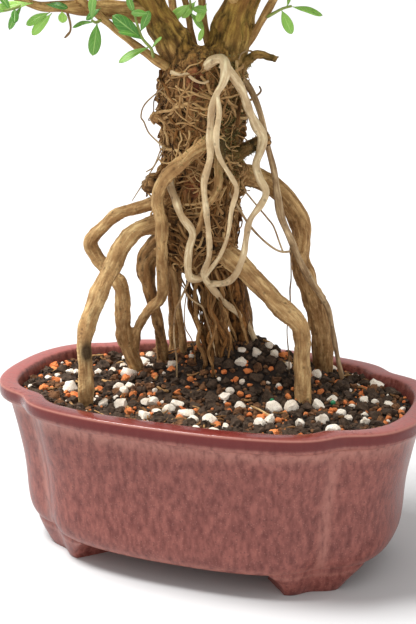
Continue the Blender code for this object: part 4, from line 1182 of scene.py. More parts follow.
@dataclass
class Pot:
    """The four-lobed pot with its rim, four bracket feet and two drain holes."""

    half_length: float = 0.1045
    half_width: float = 0.0682
    plan_power: float = 2.5
    notch_angle: float = 0.553
    notch_spread: float = 0.127
    notch_depth: float = 0.0043
    crease_depth: float = 0.0009
    crease_spread: float = 0.060
    steps: int = 208
    foot_depth: float = 0.019
    drain_offset: float = 0.037
    drain_radius: float = 0.006
    profile: tuple[tuple[float, float, float], ...] = (
        (0.770, 0.0, 0.010), (0.825, 0.0, 0.0112), (0.862, 0.0, 0.015), (0.880, 0.0, 0.022),
        (0.888, 0.0, 0.040), (0.915, 0.0, 0.055), (0.945, 0.0, 0.0685), (0.9545, 0.0, 0.0708),
        (0.962, 0.0, 0.0720), (0.990, 0.0, 0.0727), (1.000, 0.0, 0.0742), (1.003, 0.0, 0.0765),
        (1.001, 0.0, 0.0790), (0.990, 0.0, 0.0800), (1.000, 0.0082, 0.0799),
        (1.000, 0.0098, 0.0786), (0.955, 0.0065, 0.069), (0.905, 0.0065, 0.048),
        (0.888, 0.0065, 0.026), (0.850, 0.0065, 0.0175), (0.780, 0.0065, 0.016),
    )
    foot_levels: tuple[tuple[float, float, float], ...] = (
        (0.0, -0.05, 0.0), (0.0006, 0.02, 0.02), (0.0020, 0.16, 0.06), (0.0045, 0.34, 0.18),
        (0.0070, 0.50, 0.38), (0.0095, 0.62, 0.72), (0.0110, 0.70, 0.95), (0.0135, 0.72, 1.05),
    )

    def radius(self, angle: np.ndarray | float) -> np.ndarray:
        """Radius of the pot's plan.

        Args:
            angle: Direction from the pot's middle, in radians.

        Returns:
            The radius in metres.
        """
        cos, sin = np.abs(np.cos(angle)), np.abs(np.sin(angle))
        power = self.plan_power
        oval = ((cos / self.half_length) ** power + (sin / self.half_width) ** power) ** (-1 / power)
        crease = self.crease_depth * self.nearness(angle, self.crease_spread)
        return oval - self.notch_depth * self.nearness(angle, self.notch_spread) - crease

    def nearness(self, angle: np.ndarray | float, spread: float) -> np.ndarray:
        """How near a direction is to a notch, from 0 to 1."""
        folded = np.arctan2(np.abs(np.sin(angle)), np.abs(np.cos(angle)))
        return np.exp(-(((folded - self.notch_angle) / spread) ** 2))

    def rows(self, levels: np.ndarray, angles: np.ndarray) -> np.ndarray:
        """Places on the plan at several levels.

        Args:
            levels: Share of the plan, inset and height of each level.
            angles: Directions of the points of a row.

        Returns:
            The places, row after row.
        """
        reach = self.radius(angles)[None] * levels[:, :1] - levels[:, 1:2]
        x, y = reach * np.cos(angles), reach * np.sin(angles)
        z = np.broadcast_to(levels[:, 2:3], reach.shape)
        return np.stack([x, y, z], axis=-1).reshape(-1, 3)

    def notches(self) -> tuple[float, float, float, float]:
        """The directions of the four notches."""
        quarter = self.notch_angle
        return (quarter, math.pi - quarter, math.pi + quarter, -quarter)

    def body(self, draft: Draft) -> None:
        """Draw the wall, rim and floor.

        Args:
            draft: The draft that takes them.
        """
        levels = rounded(np.array(self.profile), 2)
        angles = np.linspace(0, 2 * math.pi, self.steps, endpoint=False)
        points = self.rows(levels, angles)
        faces: Faces = list(grid_faces(len(levels), self.steps))
        faces.append(tuple(reversed(range(self.steps))))
        faces.append(tuple(range(len(points) - self.steps, len(points))))
        height = levels[:, 2]
        outside = np.arange(len(levels)) < np.argmax(height)
        rim = np.clip((height - 0.0738) / 0.0014, 0, 1) * np.clip((0.0796 - height) / 0.0006, 0, 1)
        rim = np.maximum(rim * outside, 0)
        top = np.clip((height - 0.0793) / 0.0004, 0, 1)
        # front: the rim's top is painted maroon where it faces the front and in the pale lip colour
        # elsewhere, a painted sheen that is partly the glaze running thinner over the lip.
        front = np.clip((-np.sin(angles) - 0.25) / 0.45, 0, 1)
        # edge: a painted highlight line along the rim's outer top edge.
        edge = np.exp(-(((height - 0.0792) / 0.0004) ** 2)) * outside
        under = np.exp(-(((height - 0.0705) / 0.0035) ** 2)) * outside
        heel = np.exp(-(((height - 0.0125) / 0.0016) ** 2)) * outside
        # crease: painted highlight lines down the notch creases; under and heel are pale bands where the
        # glaze runs thinner.
        crease = self.nearness(angles, 0.026)[None] * (outside * (height < 0.079))[:, None]
        thin = np.maximum(crease * 0.5, np.maximum(0.5 * under, 0.35 * heel)[:, None])
        spread = np.ones((1, self.steps))
        draft.add(
            points, faces, 0, thin=thin.ravel(),
            rim=np.maximum(rim[:, None] * spread, top[:, None] * front[None]).ravel() * 0.92,
            rim_top=(top[:, None] * (1 - 0.8 * front)[None]).ravel(),
            edge=(0.7 * edge[:, None] * spread).ravel(),
        )

    def foot(self, middle: float, draft: Draft) -> None:
        """Draw the bracket foot under one notch.

        Args:
            middle: Direction of the notch.
            draft: The draft that takes the foot.
        """
        levels = rounded(np.array(self.foot_levels), 2)
        spread, points = np.linspace(-1, 1, 33), []
        inner = np.linspace(0.80, -0.80, 17)
        for height, out, wide in levels:
            scale = 0.80 + 0.062 * out - 0.004
            sweep = 0.165 + 0.125 * wide
            level = np.array([[scale, 0.0, height]])
            points.append(self.rows(level, middle + sweep * spread))
            hollow = self.foot_depth - 0.0035 * (1 - (inner / 0.80) ** 2)
            points[-1][:, :2] *= (1 - 0.022 * spread**6)[:, None]
            reach = self.radius(middle + sweep * inner) * scale - hollow
            angles = middle + sweep * inner
            points.append(np.stack([reach * np.cos(angles), reach * np.sin(angles), 0 * angles + height], -1))
        block = np.concatenate(points)
        count = len(spread) + len(inner)
        faces: Faces = list(grid_faces(len(levels), count))
        faces.append(tuple(reversed(range(count))))
        faces.append(tuple(range(len(block) - count, len(block))))
        ridge = np.repeat(np.exp(-(((levels[:, 0] - 0.0100) / 0.0010) ** 2)), count)
        draft.add(block, faces, 0, thin=ridge * 0.3, rim=0.0, rim_top=0.0, edge=0.0)

    def build(self, glaze: Material) -> Pieces:
        """Build the pot and bore its drain holes.

        Args:
            glaze: The pot's glaze.

        Yields:
            The pot.
        """
        draft = Draft("pot_glazed")
        self.body(draft)
        for middle in self.notches():
            self.foot(middle, draft)
        pot = piece(draft.mesh(), [glaze], Slot.GLAZE)
        for side in (-1, 1):
            cutter = self.drain(side)
            bore = pot.modifiers.new("Drain", "BOOLEAN")
            bore.object, bore.operation, bore.solver = cutter, "DIFFERENCE", "EXACT"
        mesh = evaluated(pot)
        for bore in list(pot.modifiers):
            bpy.data.objects.remove(bore.object, do_unlink=True)
        pot.modifiers.clear()
        pot.data = mesh
        mesh.set_sharp_from_angle(angle=math.radians(50))
        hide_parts("pot")
        yield pot

    def drain(self, side: int) -> Thing:
        """A cutter for one drain hole.

        Args:
            side: -1 for the left hole and 1 for the right one.

        Returns:
            The cutter.
        """
        bm = bmesh.new()
        size = {"radius1": self.drain_radius, "radius2": self.drain_radius, "depth": 0.016}
        bmesh.ops.create_cone(bm, cap_ends=True, segments=40, **size)
        bmesh.ops.translate(bm, verts=bm.verts, vec=(side * self.drain_offset, 0, 0.013))
        mesh = bpy.data.meshes.new("drain")
        bm.to_mesh(mesh)
        bm.free()
        made = bpy.data.objects.new("drain", mesh)
        bpy.context.scene.collection.objects.link(made)
        return made


# The potting mix


@dataclass
class Soil:
    """The mound of potting mix with its chips of pumice, lava, clay and bark."""

    pot: Pot
    edge: float = 0.0745
    rise: float = 0.024
    peak: tuple[float, float] = (0.005, 0.020)
    spread: tuple[float, float] = (0.033, 0.025)
    gap: float = 0.0004
    rings: int = 44
    seen_scale: float = 1.75
    rough: dict[Grit, float] = field(
        default_factory=lambda: {Grit.PUMICE: 0.07, Grit.LAVA: 0.17, Grit.CLAY: 0.11, Grit.EARTH: 0.15}
    )

    def height(self, x: float, y: float) -> float:
        """Height of the mound at a place.

        Args:
            x: Place along the pot.
            y: Place across the pot.

        Returns:
            The height in metres.
        """
        across = ((x - self.peak[0]) / self.spread[0]) ** 2
        along = ((y - self.peak[1]) / self.spread[1]) ** 2
        uneven = 0.0009 * noise(Vector((x, y, 0.0)) * 90.0)
        return self.edge + self.rise * math.exp(-across - along) + uneven

    def reach(self, angle: float) -> float:
        """Radius of the mound where it meets the wall.

        Args:
            angle: Direction from the pot's middle.

        Returns:
            The radius in metres.
        """
        share = (self.edge - 0.069) / (0.0786 - 0.069)
        scale, inset = 0.955 + 0.045 * share, 0.0065 + 0.0033 * share
        return float(self.pot.radius(angle)) * scale - inset - self.gap

    def bed(self, finish: Material) -> Thing:
        """The fine dark mix between the chips, filling the pot.

        Args:
            finish: The bed's material.

        Returns:
            The bed.
        """
        steps = self.pot.steps
        angles = np.linspace(0, 2 * math.pi, steps, endpoint=False)
        levels = np.array([
            (0.781, 0.0069, 0.0172), (0.846, 0.0069, 0.0186), (0.888, 0.0069, 0.026),
            (0.905, 0.0069, 0.048), (0.955, 0.0069, 0.069),
        ])
        low = self.pot.rows(levels, angles)
        top = []
        for k in range(self.rings):
            share = 1.0 - k / self.rings
            for angle in angles:
                reach = self.reach(angle) * share
                x = reach * math.cos(angle) + self.peak[0] * (1 - share)
                y = reach * math.sin(angle) + self.peak[1] * (1 - share)
                crumbs = 0.0009 * abs(noise(Vector((x, y, 0.3)) * 420.0)) * min(1.0, k / 2)
                top.append((x, y, self.height(x, y) + crumbs - 0.0006))
        points = np.concatenate([low, np.array(top)])
        rows = len(levels) + self.rings
        faces: Faces = list(grid_faces(rows, steps))
        faces.append(tuple(reversed(range(steps))))
        faces.append(tuple(range(len(points) - steps, len(points))))
        draft = Draft("soil_bed")
        draft.add(points, faces, 0, tone=0.0)
        made = piece(draft.mesh(), [finish], Slot.MIX)
        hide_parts("soil")
        return made

    def roots_here(self) -> list[tuple[float, float, float]]:
        """Where roots enter the mound: place and radius in metres."""
        found = []
        for route in ROOTS.values():
            for x, y, z, radius in stem_line(route, 2.0):
                if abs(z - self.height(x, y)) < 0.006:
                    found.append((x, y, radius))
        return found

    def places(self, rng: random.Random) -> dict[Grit, list[tuple[float, float, float, float]]]:
        """Choose a place for every chip.

        Args:
            rng: The source of the seeded draws.

        Returns:
            For each kind, x, y, height above the mound and half width, in metres.
        """
        made: dict[Grit, list[tuple[float, float, float, float]]] = {kind: [] for kind in Grit}
        taken: dict[tuple[int, int], list[tuple[float, float, float]]] = {}
        cell = 0.006

        def free(x: float, y: float, size: float, share: float) -> bool:
            """Whether a chip of this size has room at a place."""
            column, row = int(x // cell), int(y // cell)
            for i in range(column - 1, column + 2):
                for j in range(row - 1, row + 2):
                    for other_x, other_y, other in taken.get((i, j), ()):
                        if math.hypot(x - other_x, y - other_y) < (size + other) * share:
                            return False
            return True

        def take(kind: Grit, x: float, y: float, size: float, lift: float) -> None:
            """Seat a chip."""
            made[kind].append((x, y, lift, size))
            taken.setdefault((int(x // cell), int(y // cell)), []).append((x, y, size))

        roots = self.roots_here()

        def inside(x: float, y: float, size: float) -> bool:
            """Whether a place is on the mound and clear of the roots."""
            if math.hypot(x, y) > self.reach(math.atan2(y, x)) - size * 0.9:
                return False
            return all(math.hypot(x - a, y - b) > radius + size * 0.35 for a, b, radius in roots)

        for kind, chips in ((Grit.PUMICE, WHITE_CHIPS), (Grit.CLAY, ORANGE_CHIPS)):
            for x, y, size in map(SIGHT.chip, chips):
                if inside(x * MM, y * MM, size * MM):
                    take(kind, x * MM, y * MM, size * MM * self.seen_scale, size * MM * 0.5)
        # Grit, count, smallest and largest half width, room kept between chips, and lift.
        layers = (
            (Grit.PUMICE, 40, 0.0018, 0.0036, 0.84, 0.3), (Grit.LAVA, 210, 0.0022, 0.0040, 0.78, 0.1),
            (Grit.EARTH, 120, 0.0016, 0.0032, 0.76, 0.1), (Grit.CLAY, 80, 0.0012, 0.0026, 0.80, 0.35),
            (Grit.LAVA, 260, 0.0012, 0.0022, 0.74, 0.2), (Grit.EARTH, 420, 0.0008, 0.0017, 0.72, 0.25),
            (Grit.PUMICE, 90, 0.0006, 0.0014, 0.80, 0.5), (Grit.CLAY, 150, 0.0005, 0.0010, 0.80, 0.6),
            (Grit.LAVA, 420, 0.0006, 0.0012, 0.70, 0.3),
        )
        for kind, count, small, large, share, lift in layers:
            placed, tries = 0, 0
            while placed < count and tries < count * 30:
                tries += 1
                angle, size = rng.uniform(0, 2 * math.pi), rng.uniform(small, large)
                reach = (self.reach(angle) - size) * math.sqrt(rng.random())
                x, y = reach * math.cos(angle), reach * math.sin(angle)
                if inside(x, y, size) and free(x, y, size, share):
                    take(kind, x, y, size, size * lift)
                    placed += 1
        return made

    def chip(
        self, draft: Draft, place: np.ndarray, size: float, rng: np.random.Generator, ball: tuple,
        rough: float,
    ) -> None:
        """Draw one chip: a ball cut flat on several sides.

        Args:
            draft: The draft that takes the chip.
            place: The chip's middle.
            size: Half its width.
            rng: The source of the seeded draws.
            ball: Points and faces of a ball of radius 1.
            rough: Height of its bumps as a share of its size.
        """
        points, faces = ball
        shaped = points * rng.uniform(0.82, 1.25, 3)
        for _ in range(12):
            normal = rng.normal(size=3)
            normal /= np.linalg.norm(normal)
            over = np.maximum(shaped @ normal - rng.uniform(0.55, 0.92), 0)
            shaped = shaped - over[:, None] * normal * 0.95
        crags = np.abs(np.sin(points @ rng.normal(0, 2.6, (3, 6)) + rng.uniform(0, 6, 6)))
        bumps = 1.12 - rough * (crags.sum(axis=1) - 3.2)
        turned = np.linalg.qr(rng.normal(size=(3, 3)))[0]
        shaped = (shaped * bumps[:, None]) @ turned
        shaped[:, 2] *= 0.86
        if np.linalg.det(turned) < 0:
            faces = [face[::-1] for face in faces]
        draft.add(place + shaped * size, faces, 0, tone=float(rng.uniform(0, 1)))

    @staticmethod
    def ball(level: int) -> tuple[np.ndarray, Faces]:
        """A ball of radius 1.

        Args:
            level: How fine it is.

        Returns:
            Its points and its faces.
        """
        bm = bmesh.new()
        bmesh.ops.create_icosphere(bm, subdivisions=level, radius=1.0)
        points = np.array([vert.co[:] for vert in bm.verts])
        faces = [tuple(vert.index for vert in face.verts) for face in bm.faces]
        bm.free()
        return points, faces

    def chips(self, finishes: dict[Grit, Material]) -> Pieces:
        """Build the chips, one piece for each kind.

        Args:
            finishes: The material of each kind.

        Yields:
            The chips of one kind.
        """
        placed = self.places(random.Random(23))
        rng = np.random.default_rng(31)
        coarse, fine = self.ball(2), self.ball(3)
        for kind, seats in placed.items():
            draft = Draft(f"chips_{kind.value}")
            for x, y, lift, size in seats:
                place = np.array([x, y, self.height(x, y) + lift])
                ball = fine if size > 0.0020 else coarse
                self.chip(draft, place, size, rng, ball, self.rough[kind])
            yield piece(draft.mesh(), [finishes[kind]], Slot.MIX, 30)

    def litter(self, bark: Material, green: Material) -> Pieces:
        """Bits of bark, dry stalks, the char behind the trunk and two green beads.

        Args:
            bark: Material of the sticks and stalks.
            green: Material of the green beads.

        Yields:
            The sticks, then the beads.
        """
        rng = random.Random(47)
        draft = Draft("bark_bits")
        for number in range(80):
            angle = rng.uniform(0, 2 * math.pi)
            reach = (self.reach(angle) - 0.005) * math.sqrt(rng.random())
            x, y = reach * math.cos(angle), reach * math.sin(angle)
            turn, half = rng.uniform(0, 2 * math.pi), rng.uniform(0.0012, 0.0042)
            radius = rng.uniform(0.25, 0.7)
            line = []
            for k in (-1.0, 0.0, 1.0):
                px = x + half * k * math.cos(turn)
                py = y + half * k * math.sin(turn)
                lift = 1.5 + rng.uniform(-0.5, 0.6)
                line.append((px / MM, py / MM, self.height(px, py) / MM + lift, radius))
            Stem(stem_line(tuple(line), 1.0), rng.uniform(0.05, 0.75), number).sweep(draft, 6, 0.15, 3)
        char = ((-37, 20, 80.5, 1.6), (-30, 23, 83.6, 2.6), (-22, 26, 88, 2.8), (-14.5, 28.5, 91.5, 1.8))
        Stem(stem_line(char, 1.0), 0.0, 5).sweep(draft, 14, 0.22, 3)
        stalk = ((26.7, -20.8, 78.0, 0.45), (33, -25.5, 78.2, 0.5), (39.8, -30.2, 77.4, 0.4))
        Stem(stem_line(stalk, 1.0), 1.0, 9).sweep(draft, 6, 0.1, 3)
        yield piece(draft.mesh(), [bark], Slot.BARK)
        beads = Draft("green_beads")
        points, faces = self.ball(3)
        for x, y, size in map(SIGHT.chip, GREEN_BEADS):
            middle = np.array([x * MM, y * MM, self.height(x * MM, y * MM) + size * MM * 1.2])
            beads.add(middle + points * size * MM, faces, 0, tone=0.5)
        yield piece(beads.mesh(), [green], Slot.MIX)


# The wood


class StemField:
    """Reads which stem a point of the wood belongs to."""

    def __init__(self, stems: Sequence[Stem]) -> None:
        """Gather the stems' points.

        Args:
            stems: The stems that the wood was drawn from.
        """
        self.line = np.concatenate([stem.line for stem in stems])
        self.sides = np.concatenate([stem.sides for stem in stems])
        self.ups = np.concatenate([stem.ups for stem in stems])
        self.along = np.concatenate([stem.along for stem in stems])
        self.tone = np.concatenate([np.full(len(stem.line), stem.tone) for stem in stems])

    def read(self, points: np.ndarray) -> dict[str, np.ndarray]:
        """Find each point's nearest stem and its place on it.

        Args:
            points: Points on the wood's surface.

        Returns:
            The tone and the straightened place of each point, and the stem's radius there.
        """
        nearest = []
        for start in range(0, len(points), 4000):
            block = points[start : start + 4000]
            off = np.linalg.norm(block[:, None] - self.line[None, :, :3], axis=2)
            nearest.append(np.argmin(off - self.line[None, :, 3], axis=1))
        found = np.concatenate(nearest)
        arm = points - self.line[found, :3]
        return {
            "tone": self.tone[found],
            "grain_x": np.einsum("ij,ij->i", arm, self.sides[found]),
            "grain_y": np.einsum("ij,ij->i", arm, self.ups[found]),
            "grain_z": self.along[found] + np.einsum(
                "ij,ij->i", arm, np.cross(self.sides[found], self.ups[found])
            ),
            "girth": self.line[found, 3],
        }


@dataclass
class Wood:
    """Trunk, roots, stubs, limbs and branches, with the rootlets that cover the trunk."""

    voxel: float = 0.00105
    strands: int = 34
    mat_fibres: int = 820
    mat_step: float = 2.4
    mat_reach: float = 14.0
    hanging: int = 74
    stub_tone: float = 0.3
    limb_tone: float = 0.42
    branch_tone: float = 0.55
    thick_root: float = 2.9
    slimmer: tuple[float, float, float, float] = (1.0, 1.0, 1.0, 0.86)

    def trunk_place(self, angle: float, height: float, out: float) -> np.ndarray:
        """A place on the trunk.

        Args:
            angle: Direction round the trunk.
            height: Height in millimetres.
            out: Distance from the trunk's plain surface, in millimetres.

        Returns:
            The place in millimetres.
        """
        points = np.array(TRUNK, float)
        x, y, radius = (np.interp(height, points[:, 2], points[:, k]) for k in (0, 1, 3))
        reach = radius + out
        return np.array([x + reach * math.cos(angle), y + reach * math.sin(angle), height])

    def strand_stems(self) -> list[Stem]:
        """Strands of roots grown together that make up the trunk's surface.

        Returns:
            The strands' stems.
        """
        rng, made = random.Random(3), []
        for number in range(self.strands):
            angle = 2 * math.pi * (number + rng.uniform(-0.4, 0.4)) / self.strands
            top, bottom = rng.uniform(205, 232), rng.uniform(136, 170)
            drift, radius, line = rng.uniform(-0.02, 0.02), rng.uniform(1.5, 3.0), []
            height = top
            while height > bottom:
                sunk = -1.15 * radius + rng.uniform(-0.9, 0.5)
                x, y, z = self.trunk_place(angle, height, sunk)
                line.append((x, y, z, radius * rng.uniform(0.85, 1.15)))
                angle += drift + rng.uniform(-0.10, 0.10)
                height -= 7
            if len(line) > 3:
                made.append(Stem(stem_line(tuple(line), 1.6), rng.uniform(0.06, 0.4), number + 400))
        return made

    def thick_stems(self) -> list[Stem]:
        """The stems that are fused into one body.

        Returns:
            The stems, each with its tone.
        """
        made = [Stem(stem_line(TRUNK, 1.5), 0.16, 1)]
        for number, (name, route) in enumerate(ROOTS.items()):
            if max(station[3] for station in route) > self.thick_root:
                made.append(Stem(stem_line(route, 1.4), PALENESS[name], 20 + number))
        for number, route in enumerate(STUBS.values()):
            made.append(Stem(stem_line(route, 1.4), self.stub_tone, 60 + number))
        for number, route in enumerate(LIMBS.values()):
            made.append(Stem(stem_line(route, 1.6), self.limb_tone, 70 + number))
        return made + self.strand_stems()

    def fused(self, bark: Material) -> Thing:
        """The trunk with its thick roots and limbs, grown together in one skin.

        Args:
            bark: The bark's material.

        Returns:
            The fused wood.
        """
        stems = self.thick_stems()
        draft = Draft("trunk_and_roots")
        for stem in stems:
            widest = stem.line[:, 3].max() / MM
            depth = 0.05 if widest > 14 else 0.10
            stem.sweep(draft, max(10, round(widest * 3.2)), depth, max(3, round(widest * 1.1)))
        made = piece(draft.mesh(), [], Slot.BARK)
        fuse = made.modifiers.new("Fuse", "REMESH")
        fuse.mode, fuse.voxel_size = "VOXEL", self.voxel
        ease = made.modifiers.new("Ease", "SMOOTH")
        ease.factor, ease.iterations = 0.5, 2
        mesh = evaluated(made)
        made.modifiers.clear()
        made.data = mesh
        mesh.name = "trunk_and_roots"
        self.groove(mesh, StemField(stems))
        mesh.materials.append(bark)
        mesh.shade_smooth()
        return made

    def groove(self, mesh: Mesh, stems: StemField) -> None:
        """Press bark grooves into the fused skin, mark each point's stem and paint shade into its grooves,
        pits and cavities.

        Args:
            mesh: The fused mesh.
            stems: The stems that it was drawn from.
        """
        flat = np.empty(len(mesh.vertices) * 3, np.float32)
        mesh.vertices.foreach_get("co", flat)
        points = flat.reshape(-1, 3).astype(float)
        mesh.vertices.foreach_get("normal", flat)
        normals = flat.reshape(-1, 3).astype(float)
        marks = stems.read(points)
        height = points[:, 2]
        heel = np.clip((height - 0.226) / 0.016, 0, 1)
        trunk = (marks["girth"] > 0.0135) & (height > 0.14) & (height < 0.234)
        moved, crust = np.empty(len(points)), np.empty(len(points))
        for i, (x, y, z) in enumerate(zip(marks["grain_x"], marks["grain_y"], marks["grain_z"])):
            rift = noise(Vector((x * 300.0, y * 300.0, z * 42.0 + marks["tone"][i] * 40.0)))
            moved[i] = min(1.0, 4.0 * abs(rift)) - 0.75
            crust[i] = noise(Vector(points[i]) * 300.0) + 0.5 * noise(Vector(points[i]) * 700.0)
        depth = np.minimum(0.0009, 0.00022 + 0.07 * marks["girth"]) * (1 + 0.6 * heel)
        matted = np.where(trunk | (marks["tone"] < 0.42), 1.0, 0.35) * (1 - 0.7 * heel)
        press = moved * depth + crust * 0.0008 * matted
        points += normals * press[:, None]
        mesh.vertices.foreach_set("co", points.astype(np.float32).ravel())
        moss = np.clip((points[:, 0] + 0.004) / 0.014, 0, 1) * np.clip((height - 0.15) / 0.03, 0, 1)
        marks["moss"] = np.maximum(moss, 0.3 * heel + 0.1)
        marks["olive"] = heel
        # Painted shade: pressed-in grooves and pits are darkened, more on dark bark than on pale roots.
        sunk = np.clip(-moved / 0.75, 0, 1) * 0.75 + np.clip(-crust * matted * 2.4 - 0.2, 0, 1)
        marks["hollow"] = np.clip(sunk * np.where(marks["tone"] > 0.5, 0.25, 0.9), 0, 0.95)
        # Painted shade in the trunk's cavities.
        for x, y, z, wide, tall in CAVITY_SHADE:
            off = ((points[:, 0] - x * MM) ** 2 + (points[:, 1] - y * MM) ** 2) / (wide * MM) ** 2
            near = np.exp(-off - ((height - z * MM) / (tall * MM)) ** 2)
            marks["hollow"] = np.maximum(marks["hollow"], 0.9 * np.clip(near * 1.5, 0, 1))
        marks["stain"] = np.zeros(len(points))
        for x, y, z, wide, tall in RED_PLACES:
            off = ((points[:, 0] - x * MM) ** 2 + (points[:, 1] - y * MM) ** 2) / (wide * MM) ** 2
            near = np.exp(-off - ((height - z * MM) / (tall * MM)) ** 2)
            marks["stain"] = np.maximum(marks["stain"], 0.8 * np.clip(near * 1.4, 0, 1))
        # Tone raised where the skin was pushed out and lowered where it was pressed in: painted light and
        # shade on the relief.
        marks["tone"] = np.clip(marks["tone"] * (0.8 + 0.4 * np.clip(0.5 + press / 0.0012, 0, 1)), 0, 1)
        for key in ("olive", "hollow", "stain"):
            layer = mesh.attributes.new(key, "FLOAT", "POINT")
            layer.data.foreach_set("value", marks[key].astype(np.float32))
        for key in ("tone", "grain_x", "grain_y", "grain_z", "moss"):
            layer = mesh.attributes.new(key, "FLOAT", "POINT")
            layer.data.foreach_set("value", marks[key].astype(np.float32))
        mesh.update()

    def slim(
        self, name: str, stems: Sequence[Stem], bark: Material, sides: int, olive: float = 0.0
    ) -> Thing:
        """Slim stems as tubes of their own.

        Args:
            name: The piece's name.
            stems: The stems.
            bark: The bark's material.
            sides: Number of points in a ring.
            olive: How olive the bark is.

        Returns:
            The piece.
        """
        draft = Draft(name)
        for stem in stems:
            stem.sweep(draft, sides, 0.13, 3)
        for key, value in (("moss", 0.25), ("olive", olive), ("hollow", 0.0), ("stain", 0.0)):
            draft.marks[key] = [np.full(draft.count, value)]
        return piece(draft.mesh(), [bark], Slot.BARK)

    def mat_stems(self, skin: BVHTree) -> list[Stem]:
        """Short fibres matted over the trunk.

        Args:
            skin: Search tree of the fused wood.

        Returns:
            The fibres' stems.
        """
        rng, made = random.Random(77), []
        for number in range(self.mat_fibres):
            angle, height = rng.uniform(0, 2 * math.pi), rng.uniform(140, 231)
            length, heading = rng.uniform(7, 34), rng.gauss(-1.57, 1.1)
            radius, line, lift = rng.choice((0.2, 0.25, 0.35, 0.5, 0.75)), [], rng.uniform(0.0, 0.4)
            rise = rng.uniform(0, 0.35) if rng.random() < 0.3 else 0.0
            for _ in range(max(3, int(length / self.mat_step))):
                spot = self.trunk_place(angle, height, self.mat_reach)
                axis = self.trunk_place(angle, height, -self.mat_reach)
                ray = Vector(axis - spot).normalized()
                hit = skin.ray_cast(Vector(spot) * MM, ray)[0]
                if hit is None or height < 134 or height > 236:
                    break
                surface = min((Vector(hit) / MM - Vector(axis)).length - self.mat_reach, 20.0)
                place = self.trunk_place(angle, height, min(surface, 2.6) + lift + radius * 0.7)
                line.append((*place, radius))
                lift += rise + rng.uniform(-0.25, 0.3)
                lift = min(max(lift, -0.2), 3.5)
                heading += rng.gauss(0, 0.33)
                angle += self.mat_step * math.cos(heading) / 18
                height += self.mat_step * math.sin(heading)
            if len(line) > 2:
                tone = rng.choice((0.1, 0.25, 0.45, 0.7, 0.9)) + rng.uniform(-0.1, 0.1)
                made.append(Stem(stem_line(tuple(line), 1.3), tone, number + 900))
        return made

    def hanging_stems(self) -> list[Stem]:
        """Dark fibres that hang from under the trunk into the mound.

        Returns:
            The fibres' stems.
        """
        rng, made = random.Random(15), []
        for number in range(self.hanging):
            angle, reach = rng.uniform(0, 2 * math.pi), rng.uniform(2, 13)
            x, y = -6 + reach * math.cos(angle), 6 + reach * math.sin(angle)
            height, radius, line = 139 - reach * 0.2, rng.choice((0.3, 0.45, 0.7, 1.1, 1.5)), []
            pull = rng.uniform(0.1, 0.35)
            while height > 84:
                line.append((x, y, height, radius))
                x += rng.uniform(-2.4, 2.4) + pull * (6 - x) * 0.35
                y += rng.uniform(-2.0, 2.0) + pull * (14 - y) * 0.35
                height -= rng.uniform(4.5, 7.5)
            if len(line) > 3:
                made.append(Stem(stem_line(tuple(line), 1.8), rng.uniform(0.0, 0.5), number + 1500))
        return made

    def moss(self, skin: BVHTree, finish: Material) -> Thing:
        """Short fuzz on the trunk's right side and in the fork.

        Args:
            skin: Search tree of the fused wood.
            finish: The moss's material.

        Returns:
            The moss.
        """
        rng, draft = random.Random(91), Draft("moss_fuzz")
        faces = [(0, 1, 3), (1, 2, 3), (2, 0, 3), (0, 2, 1)]
        for _ in range(2600):
            angle, height = rng.gauss(-0.15, 0.7), rng.gauss(205, 17)
            if not 165 < height < 234:
                continue
            spot = self.trunk_place(angle, height, 12)
            ray = Vector(self.trunk_place(angle, height, -12) - spot).normalized()
            hit, normal, _, _ = skin.ray_cast(Vector(spot) * MM, ray)
            if hit is None:
                continue
            lean = Vector((rng.uniform(-1, 1), rng.uniform(-1, 1), rng.uniform(-1, 1)))
            grown = (normal + 0.9 * lean).normalized() * rng.uniform(0.0008, 0.0026)
            side = grown.orthogonal().normalized() * 0.00022
            other = grown.cross(side).normalized() * 0.00022
            base = hit - normal * 0.0002
            points = [base + side, base - side * 0.5 + other, base - side * 0.5 - other, base + grown]
            draft.add(np.array(points), faces, 0, tone=rng.random())
        return piece(draft.mesh(), [finish], Slot.BARK)

    def build(self, bark: Material, root: Material, moss: Material) -> Pieces:
        """Build all of the wood.

        Args:
            bark: Material of the trunk, limbs and thick roots.
            root: Material of the slim pale roots.
            moss: Material of the moss.

        Yields:
            Each piece of the wood.
        """
        body = self.fused(bark)
        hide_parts("tree_wood")
        yield body
        points = [vert.co.copy() for vert in body.data.vertices]
        skin = BVHTree.FromPolygons(points, [tuple(face.vertices) for face in body.data.polygons])
        slim = [
            Stem(stem_line(route, 1.2) * self.slimmer, PALENESS[name], 200 + number)
            for number, (name, route) in enumerate(ROOTS.items())
            if max(station[3] for station in route) <= self.thick_root
        ]
        yield self.slim("air_roots", slim, root, 12)
        twigs = [
            Stem(stem_line(route, 1.6), self.branch_tone, 300 + number)
            for number, route in enumerate(BRANCHES.values())
        ]
        yield self.slim("branches", twigs, bark, 10, 0.35)
        tones = {"dead_twig": 0.2, "right_fibre": 0.15, "small_hook": 0.2, "pale_top": 0.95}
        single = [
            Stem(stem_line(SIGHT.route(route), 0.8), tones.get(name, 0.55), 350 + number)
            for number, (name, route) in enumerate(ROOTLETS.items())
        ]
        yield self.slim("rootlets", single, root, 7)
        yield self.slim("matted_fibres", self.mat_stems(skin), bark, 5)
        yield self.slim("hanging_fibres", self.hanging_stems(), bark, 6)
        yield self.moss(skin, moss)


# The foliage


